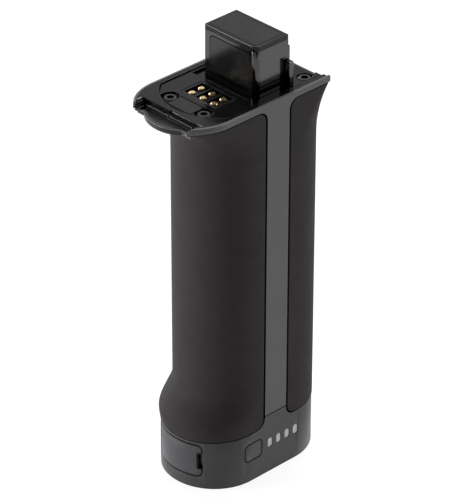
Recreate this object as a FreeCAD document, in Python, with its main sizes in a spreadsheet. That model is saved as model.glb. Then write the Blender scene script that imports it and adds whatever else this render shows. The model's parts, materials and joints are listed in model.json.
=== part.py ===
import FreeCAD, Part
import Sketcher
import math
import os

# Gimbal battery grip: a rubber covered handle that holds four cells, with a charging base
# below and a dock with contacts and a guide block on top.
# The part stands on its base. Plus Z is up, minus Y is the front with the nose and the
# charging socket, and plus X is the side with the power button and the level lights.
# The origin is the middle of the base's underside. All sizes are in millimetres.

SIZES = {
    # Handle outline
    "half_width": "22",
    "base_front_centre": "11.8",
    "rear_centre": "13.2",
    "waist_low_centre": "5.1",
    "waist_high_centre": "5.5",
    "base_height": "28",
    "deck_height": "172.5",
    "collar_height": "2.5",
    # Flares of the handle
    "foot_flare_bulge": "1",
    "foot_flare_low": "28",
    "foot_flare_high": "41.2",
    "head_flare_length": "23",
    "rear_flare_length": "26.5",
    "plate_front_centre": "25",
    "plate_front_flat": "4.4",
    "plate_rear": "29.8",
    "plate_corner": "1.2",
    # Rubber grips
    "grip_thickness": "2.5",
    "grip_gap": "0.5",
    "strip_gap": "1",
    "grip_corner": "4",
    "grip_foot_start": "3",
    "grip_foot_margin": "2",
    "grip_base_edge": "23.6",
    "grip_front_dip": "1",
    "strip_front": "4.35",
    "strip_rear": "7.45",
    # Shell of the handle
    "shell_wall": "2",
    "shelf_height": "38",
    "shelf_thickness": "2",
    "deck_root": "8",
    "seal_thickness": "0.5",
    "fit_gap": "0.1",
    # Top plate, nose and insert
    "band_wall": "1",
    "plate_thickness": "1.8",
    "nose_half": "14.9",
    "nose_inner_half": "13.3",
    "nose_round": "1.8",
    "nose_drop": "5.1",
    "nose_floor_drop": "3.5",
    "nose_lip_drop": "2.9",
    "nose_lip_wall": "1.2",
    "nose_lip_radius": "18",
    "nose_lip_half": "10.7",
    "nose_cheek_front": "40.9",
    "nose_cheek_rise": "2.6",
    "nose_cheek_start": "9.5",
    "nose_cheek_depth": "5",
    "nose_waist_half": "12.6",
    "nose_waist_front": "39.75",
    "nose_hole_inner": "12.6",
    "nose_hole_outer": "14.1",
    "nose_hole_length": "3.2",
    "nose_hole_floor": "0.6",
    "ridge_place": "35.1",
    "ridge_half": "12.8",
    "ridge_step_depth": "1",
    "ridge_step_drop": "1.7",
    "ridge_notch": "1",
    "insert_radius": "23.2",
    "insert_centre": "9",
    "insert_side": "3.4",
    "insert_drop": "0.35",
    "insert_ledge": "0.9",
    "insert_depth": "3.4",
    "floor_side": "1.1",
    "floor_front": "7",
    "floor_drop": "1",
    "rear_lip": "1.6",
    "plate_rear_lip": "0.9",
    "sill_height": "0.3",
    "floor_corner": "2",
    "floor_corner_front": "26.5",
    "floor_corner_rear": "27.6",
    "seam_gap": "0.4",
    # Pad between the front screws
    "pad_half": "6.4",
    "pad_front": "31.4",
    "pad_rear": "23.8",
    "pad_thickness": "1",
    # Contacts
    "contact_pitch_x": "6.1",
    "contact_row_front": "18",
    "contact_row_rear": "13",
    "contact_radius": "1.5",
    "contact_rise": "1.4",
    "contact_stem_radius": "0.7",
    "window_half": "9.8",
    "window_front": "20.7",
    "window_rear": "9.2",
    "carrier_floor": "1.4",
    "carrier_rib": "0.8",
    "board_thickness": "1.2",
    # Guide block
    "block_side": "3.1",
    "block_front": "3.65",
    "block_rear": "15.25",
    "block_rise": "21.3",
    "block_corner": "2.3",
    "block_left_corner": "0.6",
    "block_back_corner": "0.8",
    "block_wall": "1.8",
    "cap_thickness": "2.3",
    "cap_rear": "14.3",
    "cap_edge": "0.25",
    "cap_round": "1.2",
    "panel_side": "3.1",
    "panel_head": "1.6",
    "panel_foot": "3.5",
    "panel_lip": "0.45",
    "panel_corner": "2",
    "panel_thickness": "0.8",
    "panel_inset": "0.1",
    "label_side": "1.6",
    "label_front": "2.2",
    "label_rear": "12.1",
    "label_thickness": "0.3",
    "notch_rear": "13.9",
    "notch_drop": "4.6",
    "post_gap": "0.15",
    "post_width": "2.6",
    "post_front": "11.85",
    "post_rear": "14.5",
    "post_rise": "10.2",
    "post_corner": "0.5",
    "post_round": "0.5",
    # Fasteners
    "screw_head_radius": "2.8",
    "screw_head_height": "1.6",
    "screw_shank_radius": "1.25",
    "screw_length": "9",
    "screw_socket_radius": "1.6",
    "screw_socket_depth": "1",
    "front_screw_recess": "3.7",
    "frame_screw_head_radius": "2.52",
    "front_screw_x": "9.4",
    "front_screw_y": "26.6",
    "rear_screw_side": "4.5",
    "rear_screw_y": "23.4",
    "foot_screw_head_radius": "2.2",
    "foot_screw_head_height": "1.1",
    "foot_screw_shank_radius": "1.1",
    "foot_screw_length": "5",
    "foot_screw_inset": "4.1",
    # Base housing
    "base_wall": "3.4",
    "base_edge": "0.4",
    "foot_recess": "0.4",
    "foot_thickness": "2.4",
    "ledge_width": "3.6",
    "ledge_thickness": "2.6",
    "bush_radius": "5",
    "bush_flange_radius": "6.5",
    "bush_flange": "1.2",
    "bush_height": "8.4",
    "bush_bore": "3.175",
    "bush_bore_depth": "7.6",
    # Power button and level lights
    "button_y": "10.7",
    "button_z": "14.35",
    "button_width": "9.4",
    "button_height": "8.3",
    "button_corner": "2",
    "button_gap": "0.25",
    "button_flange": "1",
    "button_flange_thickness": "0.8",
    "button_travel": "0.4",
    "button_stem_radius": "1.2",
    "light_pitch": "4.79",
    "light_first_y": "1.39",
    "light_width": "2.8",
    "light_height": "4.7",
    "light_bar_thickness": "2",
    "light_recess": "0.15",
    "led_size": "1.6",
    "led_height": "1.9",
    "switch_width": "6",
    "switch_depth": "3.6",
    "switch_height": "4.2",
    "switch_plunger": "0.8",
    "switch_clearance": "0.05",
    "button_stem_length": "2",
    "light_end_round": "0.96",
    "board_post_radius": "2",
    "board_post_x": "10",
    "board_post_reach": "12.5",
    # Charging board, socket and socket cover
    "charge_board_height": "10.4",
    "charge_board_margin": "2.7",
    "socket_width": "9",
    "socket_height": "3.2",
    "socket_length": "7.4",
    "socket_wall": "0.35",
    "socket_setback": "3.4",
    "slot_end_round": "0.9",
    "socket_end_round": "0.45",
    "tongue_share": "0.72",
    "cover_hinge_x": "12.1",
    "cover_right": "12",
    "cover_bottom": "5.9",
    "cover_top": "21",
    "cover_corner": "2.4",
    "cover_thickness": "1.5",
    "cover_gap": "0.3",
    "cover_notch_width": "1.7",
    "cover_notch_height": "7",
    "cover_plug_depth": "1.1",
    "cover_knuckle_radius": "0.9",
    "cover_pin_radius": "0.5",
    "cover_pin_overhang": "1",
    # Cells and their frame
    "cell_thickness": "4.6",
    "cell_width": "34.5",
    "cell_height": "84",
    "cell_round": "1.6",
    "foam_thickness": "0.6",
    "frame_wall": "1.4",
    "frame_gap": "0.3",
    "frame_floor": "1.5",
    "frame_post": "9",
    "frame_post_width": "5",
    "cell_middle_y": "4",
    "tab_width": "7",
    "tab_thickness": "0.3",
    "tab_place": "10",
    "lead_radius": "0.8",
    "lead_margin": "2.3",
    "lead_spacing": "4",
    "shaft_margin": "2",
}

LIGHT_COUNT = 4
CELL_COUNT = 4

# A cut from the side starts this far outside the handle and goes this far past the wall
CUT_START = 1
CUT_MARGIN = 2

# Heights nearer to each other than this count as one height
SAME_LEVEL = 1e-6

document = FreeCAD.newDocument("battery_grip")
sheet = document.addObject("Spreadsheet::Sheet", "Sizes")
finished = []


class Size:
    """A length that keeps its number together with the sheet expression it comes from."""

    def __init__(self, number, text):
        self.number = float(number)
        self.text = text

    def __float__(self):
        return self.number

    def __neg__(self):
        return Size(-self.number, f"(-{self.text})")

    def __add__(self, other):
        other = as_size(other)
        return Size(self.number + other.number, f"({self.text} + {other.text})")

    def __radd__(self, other):
        return as_size(other) + self

    def __sub__(self, other):
        other = as_size(other)
        return Size(self.number - other.number, f"({self.text} - {other.text})")

    def __rsub__(self, other):
        return as_size(other) - self

    def __mul__(self, other):
        other = as_size(other)
        return Size(self.number * other.number, f"({self.text} * {other.text})")

    def __rmul__(self, other):
        return as_size(other) * self

    def __truediv__(self, other):
        other = as_size(other)
        return Size(self.number / other.number, f"({self.text} / {other.text})")


def as_size(value):
    """Turn a plain number into a Size and leave a Size as it is."""
    if isinstance(value, Size):
        return value
    return Size(value, repr(float(value)))


def root(value):
    """Square root of a size."""
    return Size(math.sqrt(value.number), f"sqrt({value.text})")


class SheetSizes:
    """Every cell of the sheet, by its alias."""


def fill_sheet():
    """Write the driving sizes into the sheet and return them by name."""
    sizes = SheetSizes()
    for row, (alias, number) in enumerate(SIZES.items(), start=1):
        sheet.set(f"A{row}", alias)
        sheet.set(f"B{row}", number)
        sheet.setAlias(f"B{row}", alias)
        setattr(sizes, alias, Size(number, f"Sizes.{alias}"))
    document.recompute()
    return sizes


s = fill_sheet()


# Sizes worked out from the sheet

plate_bottom = s.deck_height - s.plate_thickness
insert_half = s.half_width - s.insert_side
floor_half = insert_half - s.floor_side
floor_rear_half = floor_half - s.floor_corner
block_half = floor_half - s.block_side
label_half = block_half - s.label_side
post_inner = block_half + s.post_gap
post_outer = post_inner + s.post_width
rear_screw_x = insert_half - s.rear_screw_side
cavity_half = s.half_width - s.grip_thickness - s.shell_wall
lead_side = cavity_half - s.lead_margin
panel_half = block_half - s.panel_side
collar_bottom = s.deck_height - s.collar_height
head_flare_start = s.deck_height - s.head_flare_length
rear_flare_start = s.deck_height - s.rear_flare_length
nose_bottom = s.deck_height - s.nose_drop
nose_floor = s.deck_height - s.nose_floor_drop
nose_lip_height = s.deck_height - s.nose_lip_drop
nose_hole_bottom = nose_bottom + s.nose_hole_floor
ridge_step_height = s.deck_height - s.ridge_step_drop
block_top = s.deck_height + s.block_rise
notch_bottom = block_top - s.notch_drop
post_top = s.deck_height + s.post_rise
grip_top = collar_bottom - s.grip_gap
insert_top = s.deck_height - s.insert_drop
insert_bottom = plate_bottom - s.insert_depth
floor_level = insert_top - s.floor_drop
charge_board_top = s.charge_board_height + s.board_thickness
cap_bottom = block_top - s.cap_thickness
panel_top = cap_bottom - s.panel_head
panel_bottom = s.deck_height + s.panel_foot
cells_bottom = s.shelf_height + s.shelf_thickness + s.frame_floor
cells_top = cells_bottom + s.cell_height
frame_bottom = s.shelf_height + s.shelf_thickness
board_bottom = cells_top + s.frame_post
cavity_top = insert_bottom - s.deck_root
stack_half = (CELL_COUNT * s.cell_thickness + (CELL_COUNT - 1) * s.foam_thickness) / 2


# Helpers for objects of the document

def bind(thing, path, size):
    """Bind one property of an object to its size."""
    thing.setExpression(path, as_size(size).text)


def place(thing, x=0, y=0, z=0):
    """Bind the position of an object."""
    bind(thing, ".Placement.Base.x", x)
    bind(thing, ".Placement.Base.y", y)
    bind(thing, ".Placement.Base.z", z)


def finish(thing, label):
    """Name a finished sub-part and keep it for the export."""
    thing.Label = label
    finished.append(thing)
    return thing


def box(name, x0, x1, y0, y1, z0, z1):
    """A box between two corners."""
    thing = document.addObject("Part::Box", name)
    bind(thing, "Length", as_size(x1) - x0)
    bind(thing, "Width", as_size(y1) - y0)
    bind(thing, "Height", as_size(z1) - z0)
    place(thing, x0, y0, z0)
    return thing


def cylinder(name, radius, x, y, z0, z1):
    """An upright cylinder."""
    thing = document.addObject("Part::Cylinder", name)
    bind(thing, "Radius", radius)
    bind(thing, "Height", as_size(z1) - z0)
    place(thing, x, y, z0)
    return thing


def fuse(name, *things):
    """Join solids into one."""
    thing = document.addObject("Part::MultiFuse", name)
    thing.Shapes = list(things)
    thing.Refine = True
    return thing


def cut(name, base, *tools):
    """Cut one or more solids out of a base."""
    thing = document.addObject("Part::Cut", name)
    thing.Base = base
    thing.Tool = tools[0] if len(tools) == 1 else fuse(name + "_tools", *tools)
    thing.Refine = True
    return thing


def common(name, first, second):
    """Keep what two solids share."""
    thing = document.addObject("Part::MultiCommon", name)
    thing.Shapes = [first, second]
    thing.Refine = True
    return thing


def group(name, *things):
    """Several separate solids that share one node."""
    thing = document.addObject("Part::Compound", name)
    thing.Links = list(things)
    return thing


def new_body(name):
    return document.addObject("PartDesign::Body", name)


def origin_plane(body, role):
    """One of the body's own origin planes."""
    return next(plane for plane in body.Origin.OriginFeatures if plane.Role == role)


def new_sketch(body, role, name, offset=0):
    """A sketch on an origin plane of its own body, moved along the plane's normal."""
    sketch = body.newObject("Sketcher::SketchObject", name)
    sketch.AttachmentSupport = [(origin_plane(body, role), "")]
    sketch.MapMode = "FlatFace"
    bind(sketch, ".AttachmentOffset.Base.z", offset)
    return sketch


def pin_point(sketch, edge, point, x, y):
    """Bind a point of a sketch edge to its place from the sketch's origin."""
    for kind, size in (("DistanceX", x), ("DistanceY", y)):
        index = sketch.addConstraint(Sketcher.Constraint(kind, -1, 1, edge, point, float(size)))
        bind(sketch, f"Constraints[{index}]", size)


def add_circle(sketch, x, y, radius):
    """A circle bound by its centre and radius."""
    centre = FreeCAD.Vector(float(x), float(y), 0)
    edge = sketch.addGeometry(Part.Circle(centre, FreeCAD.Vector(0, 0, 1), float(radius)))
    pin_point(sketch, edge, 3, x, y)
    index = sketch.addConstraint(Sketcher.Constraint("Radius", edge, float(radius)))
    bind(sketch, f"Constraints[{index}]", radius)


def add_arc(sketch, start, end, centre, clockwise):
    """An arc from start to end about a centre, with its ends left free."""
    first, last = (end, start) if clockwise else (start, end)
    middle = FreeCAD.Vector(float(centre[0]), float(centre[1]), 0)
    from_x, from_y = float(first[0]) - middle.x, float(first[1]) - middle.y
    to_x, to_y = float(last[0]) - middle.x, float(last[1]) - middle.y
    circle = Part.Circle(middle, FreeCAD.Vector(0, 0, 1), math.hypot(from_x, from_y))
    arc = Part.ArcOfCircle(circle, math.atan2(from_y, from_x), math.atan2(to_y, to_x))
    return sketch.addGeometry(arc)


def add_path(sketch, points):
    """A closed outline. A point is (x, y), or (x, y, centre, turn) before an arc."""
    edges = []
    for point, following in zip(points, points[1:] + points[:1]):
        if len(point) == 2:
            start = FreeCAD.Vector(float(point[0]), float(point[1]), 0)
            end = FreeCAD.Vector(float(following[0]), float(following[1]), 0)
            edges.append((sketch.addGeometry(Part.LineSegment(start, end)), 1, 2))
        else:
            clockwise = point[3] == "clockwise"
            edge = add_arc(sketch, point, following, point[2], clockwise)
            edges.append((edge, 2, 1) if clockwise else (edge, 1, 2))
    for (edge, _, end), (following, start, _) in zip(edges, edges[1:] + edges[:1]):
        sketch.addConstraint(Sketcher.Constraint("Coincident", edge, end, following, start))
    for (edge, start, _), point in zip(edges, points):
        pin_point(sketch, edge, start, point[0], point[1])
    for (edge, _, _), point, following in zip(edges, points, points[1:] + points[:1]):
        if len(point) > 2:
            pin_arc_centre(sketch, edge, point, following)


def pin_arc_centre(sketch, edge, point, following):
    """Bind the coordinate of an arc's centre that its two ends leave open."""
    across = abs(float(following[0]) - float(point[0]))
    along = abs(float(following[1]) - float(point[1]))
    kind, size = ("DistanceY", point[2][1]) if across > along else ("DistanceX", point[2][0])
    index = sketch.addConstraint(Sketcher.Constraint(kind, -1, 1, edge, 3, float(size)))
    bind(sketch, f"Constraints[{index}]", size)


def stadium(half, front, rear):
    """Outline with straight sides and round ends. Front and rear are the ends' centres."""
    return [
        (half, -front),
        (half, rear, (0, rear), "anticlockwise"),
        (-half, rear),
        (-half, -front, (0, -front), "anticlockwise"),
    ]


def rounded_rectangle(x0, x1, y0, y1, corner):
    """Rectangle with four round corners."""
    return [
        (x0 + corner, y0),
        (x1 - corner, y0, (x1 - corner, y0 + corner), "anticlockwise"),
        (x1, y0 + corner),
        (x1, y1 - corner, (x1 - corner, y1 - corner), "anticlockwise"),
        (x1 - corner, y1),
        (x0 + corner, y1, (x0 + corner, y1 - corner), "anticlockwise"),
        (x0, y1 - corner),
        (x0, y0 + corner, (x0 + corner, y0 + corner), "anticlockwise"),
    ]


def pad(body, sketch, name, length):
    """Raise a sketch along its normal."""
    feature = body.newObject("PartDesign::Pad", name)
    feature.Profile = sketch
    bind(feature, "Length", length)
    sketch.Visibility = False
    return feature


def pocket(body, sketch, name, length, upwards=False):
    """Sink a sketch into the body, against its normal unless upwards."""
    feature = body.newObject("PartDesign::Pocket", name)
    feature.Profile = sketch
    bind(feature, "Length", length)
    feature.Reversed = upwards
    sketch.Visibility = False
    return feature


def pad_path(body, name, points, bottom, top):
    """Pad an outline between two heights."""
    sketch = new_sketch(body, "XY_Plane", name + "_outline", bottom)
    add_path(sketch, points)
    return pad(body, sketch, name, as_size(top) - bottom)


def pocket_path(body, name, points, bottom, top):
    """Cut an outline out of a body between two heights."""
    sketch = new_sketch(body, "XY_Plane", name + "_outline", top)
    add_path(sketch, points)
    return pocket(body, sketch, name, as_size(top) - bottom)


def pocket_hole(body, name, x, y, radius, bottom, top):
    """Cut a round upright hole out of a body."""
    sketch = new_sketch(body, "XY_Plane", name + "_outline", top)
    add_circle(sketch, x, y, radius)
    return pocket(body, sketch, name, as_size(top) - bottom)


def dress_level(body, base, kind, name, level):
    """A fillet or chamfer on the edges of a feature that lie at one height."""
    document.recompute()
    names = [
        f"Edge{number}" for number, edge in enumerate(base.Shape.Edges, start=1)
        if all(abs(vertex.Z - float(level)) < SAME_LEVEL for vertex in edge.Vertexes)
    ]
    feature = body.newObject(kind, name)
    feature.Base = (base, names)
    return feature


def revolve(body, name, points):
    """Turn an outline of (radius, height) points about the body's Z axis."""
    sketch = new_sketch(body, "XZ_Plane", name + "_outline")
    add_path(sketch, points)
    feature = body.newObject("PartDesign::Revolution", name)
    feature.Profile = sketch
    feature.ReferenceAxis = (sketch, ["V_Axis"])
    feature.Angle = 360
    sketch.Visibility = False
    return feature


def prism_along_x(name, points, x0, x1):
    """A solid of a (y, z) outline between two X places."""
    body = new_body(name)
    sketch = new_sketch(body, "YZ_Plane", name + "_outline", x0)
    add_path(sketch, points)
    pad(body, sketch, name + "_pad", as_size(x1) - x0)
    return body


def prism_along_y(name, points, y0, y1):
    """A solid of an (x, z) outline between two Y places, y0 the one nearer the front."""
    body = new_body(name)
    sketch = new_sketch(body, "XZ_Plane", name + "_outline", -as_size(y1))
    add_path(sketch, points)
    pad(body, sketch, name + "_pad", as_size(y1) - y0)
    return body


def feature_of(name, shape):
    """A feature that holds a shape made in code."""
    thing = document.addObject("Part::Feature", name)
    thing.Shape = shape
    return thing


# Handle form

REACH = 60
REAR_FLAT = 0.5
FOOT_LEVELS = 18
HEAD_LEVELS = 11


def wire_of(points, lift):
    """Closed wire of an outline, with each flat place lifted into space."""
    edges = []
    for point, following in zip(points, points[1:] + points[:1]):
        start, end = lift(point[0], point[1]), lift(following[0], following[1])
        if len(point) == 2:
            edges.append(Part.LineSegment(start, end).toShape())
            continue
        cx, cy = float(point[2][0]), float(point[2][1])
        from_angle = math.atan2(float(point[1]) - cy, float(point[0]) - cx)
        to_angle = math.atan2(float(following[1]) - cy, float(following[0]) - cx)
        turn = (to_angle - from_angle) % (2 * math.pi)
        if point[3] == "clockwise":
            turn -= 2 * math.pi
        radius = math.hypot(float(point[0]) - cx, float(point[1]) - cy)
        half = from_angle + turn / 2
        middle = lift(cx + radius * math.cos(half), cy + radius * math.sin(half))
        edges.append(Part.Arc(start, middle, end).toShape())
    return Part.Wire(edges)


def upright_solid(points, bottom, top):
    """Solid of an (x, y) outline between two heights."""
    wire = wire_of(points, lambda x, y: FreeCAD.Vector(float(x), float(y), float(bottom)))
    return Part.Face(wire).extrude(FreeCAD.Vector(0, 0, float(top) - float(bottom)))


def sideways_solid(points):
    """Solid of a (y, z) outline right through the handle along X."""
    wire = wire_of(points, lambda y, z: FreeCAD.Vector(-REACH, float(y), float(z)))
    return Part.Face(wire).extrude(FreeCAD.Vector(2 * REACH, 0, 0))


def share(value, start, end):
    """How far a value has gone from start to end, from 0 to 1."""
    return min(max((value - float(start)) / (float(end) - float(start)), 0), 1)


def smooth(part):
    """Even out a share so that it starts and ends level."""
    return part * part * (3 - 2 * part)


def front_centre_at(level):
    """Place of the front arc's centre, ahead of the middle, at a height."""
    rise = share(level, s.foot_flare_high, head_flare_start)
    waist = float(s.waist_low_centre) + rise * (float(s.waist_high_centre) - float(s.waist_low_centre))
    foot = float(s.base_front_centre)
    bulge_start = s.grip_base_edge - s.grip_gap - s.grip_foot_start
    foot += float(s.foot_flare_bulge) * smooth(share(level, bulge_start, s.base_height))
    centre = waist + (foot - waist) * smooth(1 - share(level, s.foot_flare_low, s.foot_flare_high))
    spread = share(level, head_flare_start, collar_bottom) ** 2
    return centre + spread * (float(s.plate_front_centre) - centre)


def handle_section(level, inset):
    """Outline of the handle at a height, moved inwards by an inset."""
    half = float(s.half_width) - inset
    front = front_centre_at(level)
    front_spread = share(level, head_flare_start, collar_bottom) ** 2
    rear_spread = share(level, rear_flare_start, collar_bottom) ** 2
    waist_rear = float(s.rear_centre) + float(s.half_width)
    rear = waist_rear + rear_spread * (float(s.plate_rear) - waist_rear)
    corner = float(s.half_width) - REAR_FLAT
    corner += rear_spread * (float(s.plate_corner) - corner)
    inner_corner = max(corner - inset, float(s.plate_corner) / 2)
    rear -= inset
    nose_angle = math.acos(float(s.nose_half) / float(s.half_width))
    nose_x = half * math.cos(nose_angle)
    nose_y = -front - half * math.sin(nose_angle)
    tip = -front - half + front_spread * float(s.plate_front_flat)

    def at(x, y):
        return FreeCAD.Vector(x, y, level)

    def arc_middle(angle):
        return at(half * math.cos(angle), -front - half * math.sin(angle))

    diagonal = inner_corner * (1 - math.sqrt(0.5))
    side_rear = rear - inner_corner
    edges = [
        Part.LineSegment(at(half, -front), at(half, side_rear)),
        Part.Arc(at(half, side_rear), at(half - diagonal, rear - diagonal), at(half - inner_corner, rear)),
        Part.LineSegment(at(half - inner_corner, rear), at(inner_corner - half, rear)),
        Part.Arc(at(inner_corner - half, rear), at(diagonal - half, rear - diagonal), at(-half, side_rear)),
        Part.LineSegment(at(-half, side_rear), at(-half, -front)),
        Part.Arc(at(-half, -front), arc_middle(math.pi - nose_angle / 2), at(-nose_x, nose_y)),
        Part.Arc(at(-nose_x, nose_y), at(0, tip), at(nose_x, nose_y)),
        Part.Arc(at(nose_x, nose_y), arc_middle(nose_angle / 2), at(half, -front)),
    ]
    return Part.Wire([edge.toShape() for edge in edges])


def levels_between(low, high, count):
    """Evenly spaced heights, both ends included."""
    low, high = float(low), float(high)
    return [low + (high - low) * step / (count - 1) for step in range(count)]


def handle_solid(inset):
    """The handle's outer form from under the rubber's edge up to the collar."""
    inset = float(inset)
    foot_low = s.grip_base_edge - s.grip_gap - s.grip_foot_start
    foot_high = s.foot_flare_high + s.grip_foot_margin
    foot_levels = levels_between(foot_low, foot_high, FOOT_LEVELS)
    foot = [handle_section(level, inset) for level in foot_levels]
    waist = [handle_section(float(level), inset) for level in (foot_high, rear_flare_start)]
    head_levels = levels_between(rear_flare_start, collar_bottom, HEAD_LEVELS)
    head = [handle_section(level, inset) for level in head_levels]
    foot_solid = Part.makeLoft(foot, True, False)
    waist_solid = Part.makeLoft(waist, True, True)
    head_solid = Part.makeLoft(head, True, False)
    return foot_solid.fuse([waist_solid, head_solid])


def front_region(growth):
    """Where the front rubber grip lies, seen from the side, with a growth up to the grip gap."""
    edge = -(s.strip_front + s.strip_gap - growth * s.strip_gap / s.grip_gap)
    corner = s.grip_corner + growth
    top = grip_top + growth
    bottom = s.grip_base_edge - growth
    slope = s.grip_front_dip / (s.half_width + s.base_front_centre)
    far_bottom = bottom - slope * REACH
    return sideways_solid([
        (edge, bottom + corner),
        (edge, top - corner, (edge - corner, top - corner), "anticlockwise"),
        (edge - corner, top),
        (as_size(-REACH), top),
        (as_size(-REACH), far_bottom),
        (edge - corner, bottom, (edge - corner, bottom + corner), "anticlockwise"),
    ])


def rear_region(growth):
    """Where the rear rubber grip lies, seen from the side, with a growth up to the grip gap."""
    edge = s.strip_rear + s.strip_gap - growth * s.strip_gap / s.grip_gap
    corner = s.grip_corner + growth
    top = grip_top + growth
    bottom = s.grip_base_edge - growth
    return sideways_solid([
        (edge, top - corner),
        (edge, bottom + corner, (edge + corner, bottom + corner), "anticlockwise"),
        (edge + corner, bottom),
        (as_size(REACH), bottom),
        (as_size(REACH), top),
        (edge + corner, top, (edge + corner, top - corner), "anticlockwise"),
    ])


def nose_space(growth):
    """Room for the catch at the nose. Its sides flare out in a round at the top."""
    half = s.nose_half + growth
    bottom = nose_bottom - growth
    round_low = s.deck_height - s.nose_round
    top = s.deck_height + 1
    wide = half + s.nose_round
    wire = wire_of([
        (-half, bottom),
        (half, bottom),
        (half, round_low, (wide, round_low), "clockwise"),
        (wide, s.deck_height),
        (wide, top),
        (-wide, top),
        (-wide, s.deck_height, (-wide, round_low), "clockwise"),
        (-half, round_low),
    ], lambda x, z: FreeCAD.Vector(float(x), -REACH, float(z)))
    return Part.Face(wire).extrude(FreeCAD.Vector(0, REACH - float(s.ridge_place - growth), 0))


outer_form = handle_solid(0)
core_form = handle_solid(s.grip_thickness)
grip_room = front_region(s.grip_gap).fuse(rear_region(s.grip_gap)).cut(core_form)


# Plan outlines of the top

def plate_outline(inset):
    """Plan of the top, with its round front corners and its flatter tip."""
    half = s.half_width - inset
    nose_y = -(s.plate_front_centre + root(half * half - s.nose_half * s.nose_half))
    centre = (0, -s.plate_front_centre)
    return [
        (half, -s.plate_front_centre),
        (half, s.plate_rear),
        (-half, s.plate_rear),
        (-half, -s.plate_front_centre, centre, "anticlockwise"),
        (-s.nose_half, nose_y),
        (s.nose_half, nose_y, centre, "anticlockwise"),
    ]


def insert_outline(inset, rear):
    """Plan of the dock insert between its arc at the front and a straight rear."""
    half = insert_half - inset
    radius = s.insert_radius - inset
    side_front = -(s.insert_centre + root(radius * radius - half * half))
    return [
        (half, side_front),
        (half, rear),
        (-half, rear),
        (-half, side_front, (0, -s.insert_centre), "anticlockwise"),
    ]


def block_outline(rear):
    """Plan of the guide block, with its large right front corner."""
    half = block_half
    front = -s.block_front
    corner, left, back = s.block_corner, s.block_left_corner, s.block_back_corner
    return [
        (-half + left, front),
        (half - corner, front, (half - corner, front + corner), "anticlockwise"),
        (half, front + corner),
        (half, rear - back, (half - back, rear - back), "anticlockwise"),
        (half - back, rear),
        (-half + back, rear, (-half + back, rear - back), "anticlockwise"),
        (-half, rear - back),
        (-half, front + left, (-half + left, front + left), "anticlockwise"),
    ]


def screw_room(x, y, head_top):
    """Room for a screw's head and shank."""
    place_of = FreeCAD.Vector(float(x), float(y), float(head_top - s.screw_head_height))
    head = Part.makeCylinder(float(s.screw_head_radius + s.seam_gap), REACH, place_of)
    foot = FreeCAD.Vector(float(x), float(y), float(head_top - s.screw_length))
    shank = Part.makeCylinder(float(s.screw_shank_radius + s.fit_gap), REACH, foot)
    return head.fuse(shank)


underside_rear = s.plate_rear - s.grip_thickness - s.shell_wall
front_head_top = insert_top - s.insert_drop
rear_head_top = floor_level - s.fit_gap
front_screw_places = [(side * s.front_screw_x, -s.front_screw_y) for side in (-1, 1)]
rear_screw_places = [(side * rear_screw_x, s.rear_screw_y) for side in (-1, 1)]
frame_boss_offset = (s.half_width - s.base_wall - s.screw_head_radius - s.cover_gap) * math.sqrt(0.5)
frame_screw_places = [
    (side * frame_boss_offset, y)
    for y in (-s.base_front_centre - frame_boss_offset, s.rear_centre + frame_boss_offset)
    for side in (-1, 1)
]


# Handle parts

def make_chassis():
    """Light grey shell with its side strips, the collar and the seat of the deck."""
    bottom = s.base_height + s.seal_thickness
    shape = outer_form.cut(grip_room)
    below = Part.makeBox(2 * REACH, 2 * REACH, float(bottom), FreeCAD.Vector(-REACH, -REACH, 0))
    shape = shape.cut(below).fuse(upright_solid(plate_outline(as_size(0)), collar_bottom, s.deck_height))
    cavity = stadium(cavity_half, s.waist_low_centre, s.rear_centre)
    rooms = [
        upright_solid(cavity, bottom, s.shelf_height),
        upright_solid(cavity, frame_bottom, cavity_top),
        upright_solid(plate_outline(s.band_wall), plate_bottom, s.deck_height + 1),
        upright_solid(insert_outline(s.insert_ledge - s.fit_gap, underside_rear + s.fit_gap),
                      insert_bottom, s.deck_height),
        nose_space(as_size(0)),
    ]
    shaft_half = float(s.window_half + s.shaft_margin)
    shaft_front = float(s.window_front + s.shaft_margin)
    shaft_corner = FreeCAD.Vector(-shaft_half, -shaft_front, float(cavity_top - s.shaft_margin))
    rooms.append(Part.makeBox(2 * shaft_half, shaft_front + float(s.block_rear), REACH, shaft_corner))
    rear_half = float(s.half_width - s.band_wall)
    rear, sill = float(s.plate_rear - s.rear_lip), float(collar_bottom + s.sill_height)
    rooms.append(Part.makeBox(2 * rear_half, REACH, REACH, FreeCAD.Vector(-rear_half, rear, sill)))
    shape = shape.cut(rooms)
    opening_x = float(lead_side + 2 * s.lead_radius)
    opening_y = float(s.cell_width / 4)
    corner = FreeCAD.Vector(-opening_x, float(s.cell_middle_y) - opening_y, float(s.shelf_height))
    shape = shape.cut(Part.makeBox(2 * opening_x, 2 * opening_y, float(s.shelf_thickness), corner))
    for x, y in frame_screw_places:
        place_of = FreeCAD.Vector(float(x), float(y), float(bottom))
        boss = Part.makeCylinder(float(s.screw_head_radius), float(s.shelf_height - bottom), place_of)
        shape = shape.fuse(boss.common(core_form))
    screws = [screw_room(x, y, front_head_top) for x, y in front_screw_places]
    screws += [screw_room(x, y, rear_head_top) for x, y in rear_screw_places]
    shank = float(s.screw_shank_radius + s.fit_gap)
    for x, y in frame_screw_places:
        place_of = FreeCAD.Vector(float(x), float(y), float(bottom))
        screws.append(Part.makeCylinder(shank, float(s.screw_length), place_of))
    shape = shape.cut(screws)
    finish(feature_of("chassis", shape.removeSplitter()), "chassis")


def make_front_grip():
    """Rubber over the front, flared at the foot and under the nose."""
    shape = outer_form.cut(core_form).common(front_region(as_size(0))).cut(nose_space(s.fit_gap))
    finish(feature_of("front_grip", shape), "front_grip")


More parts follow.
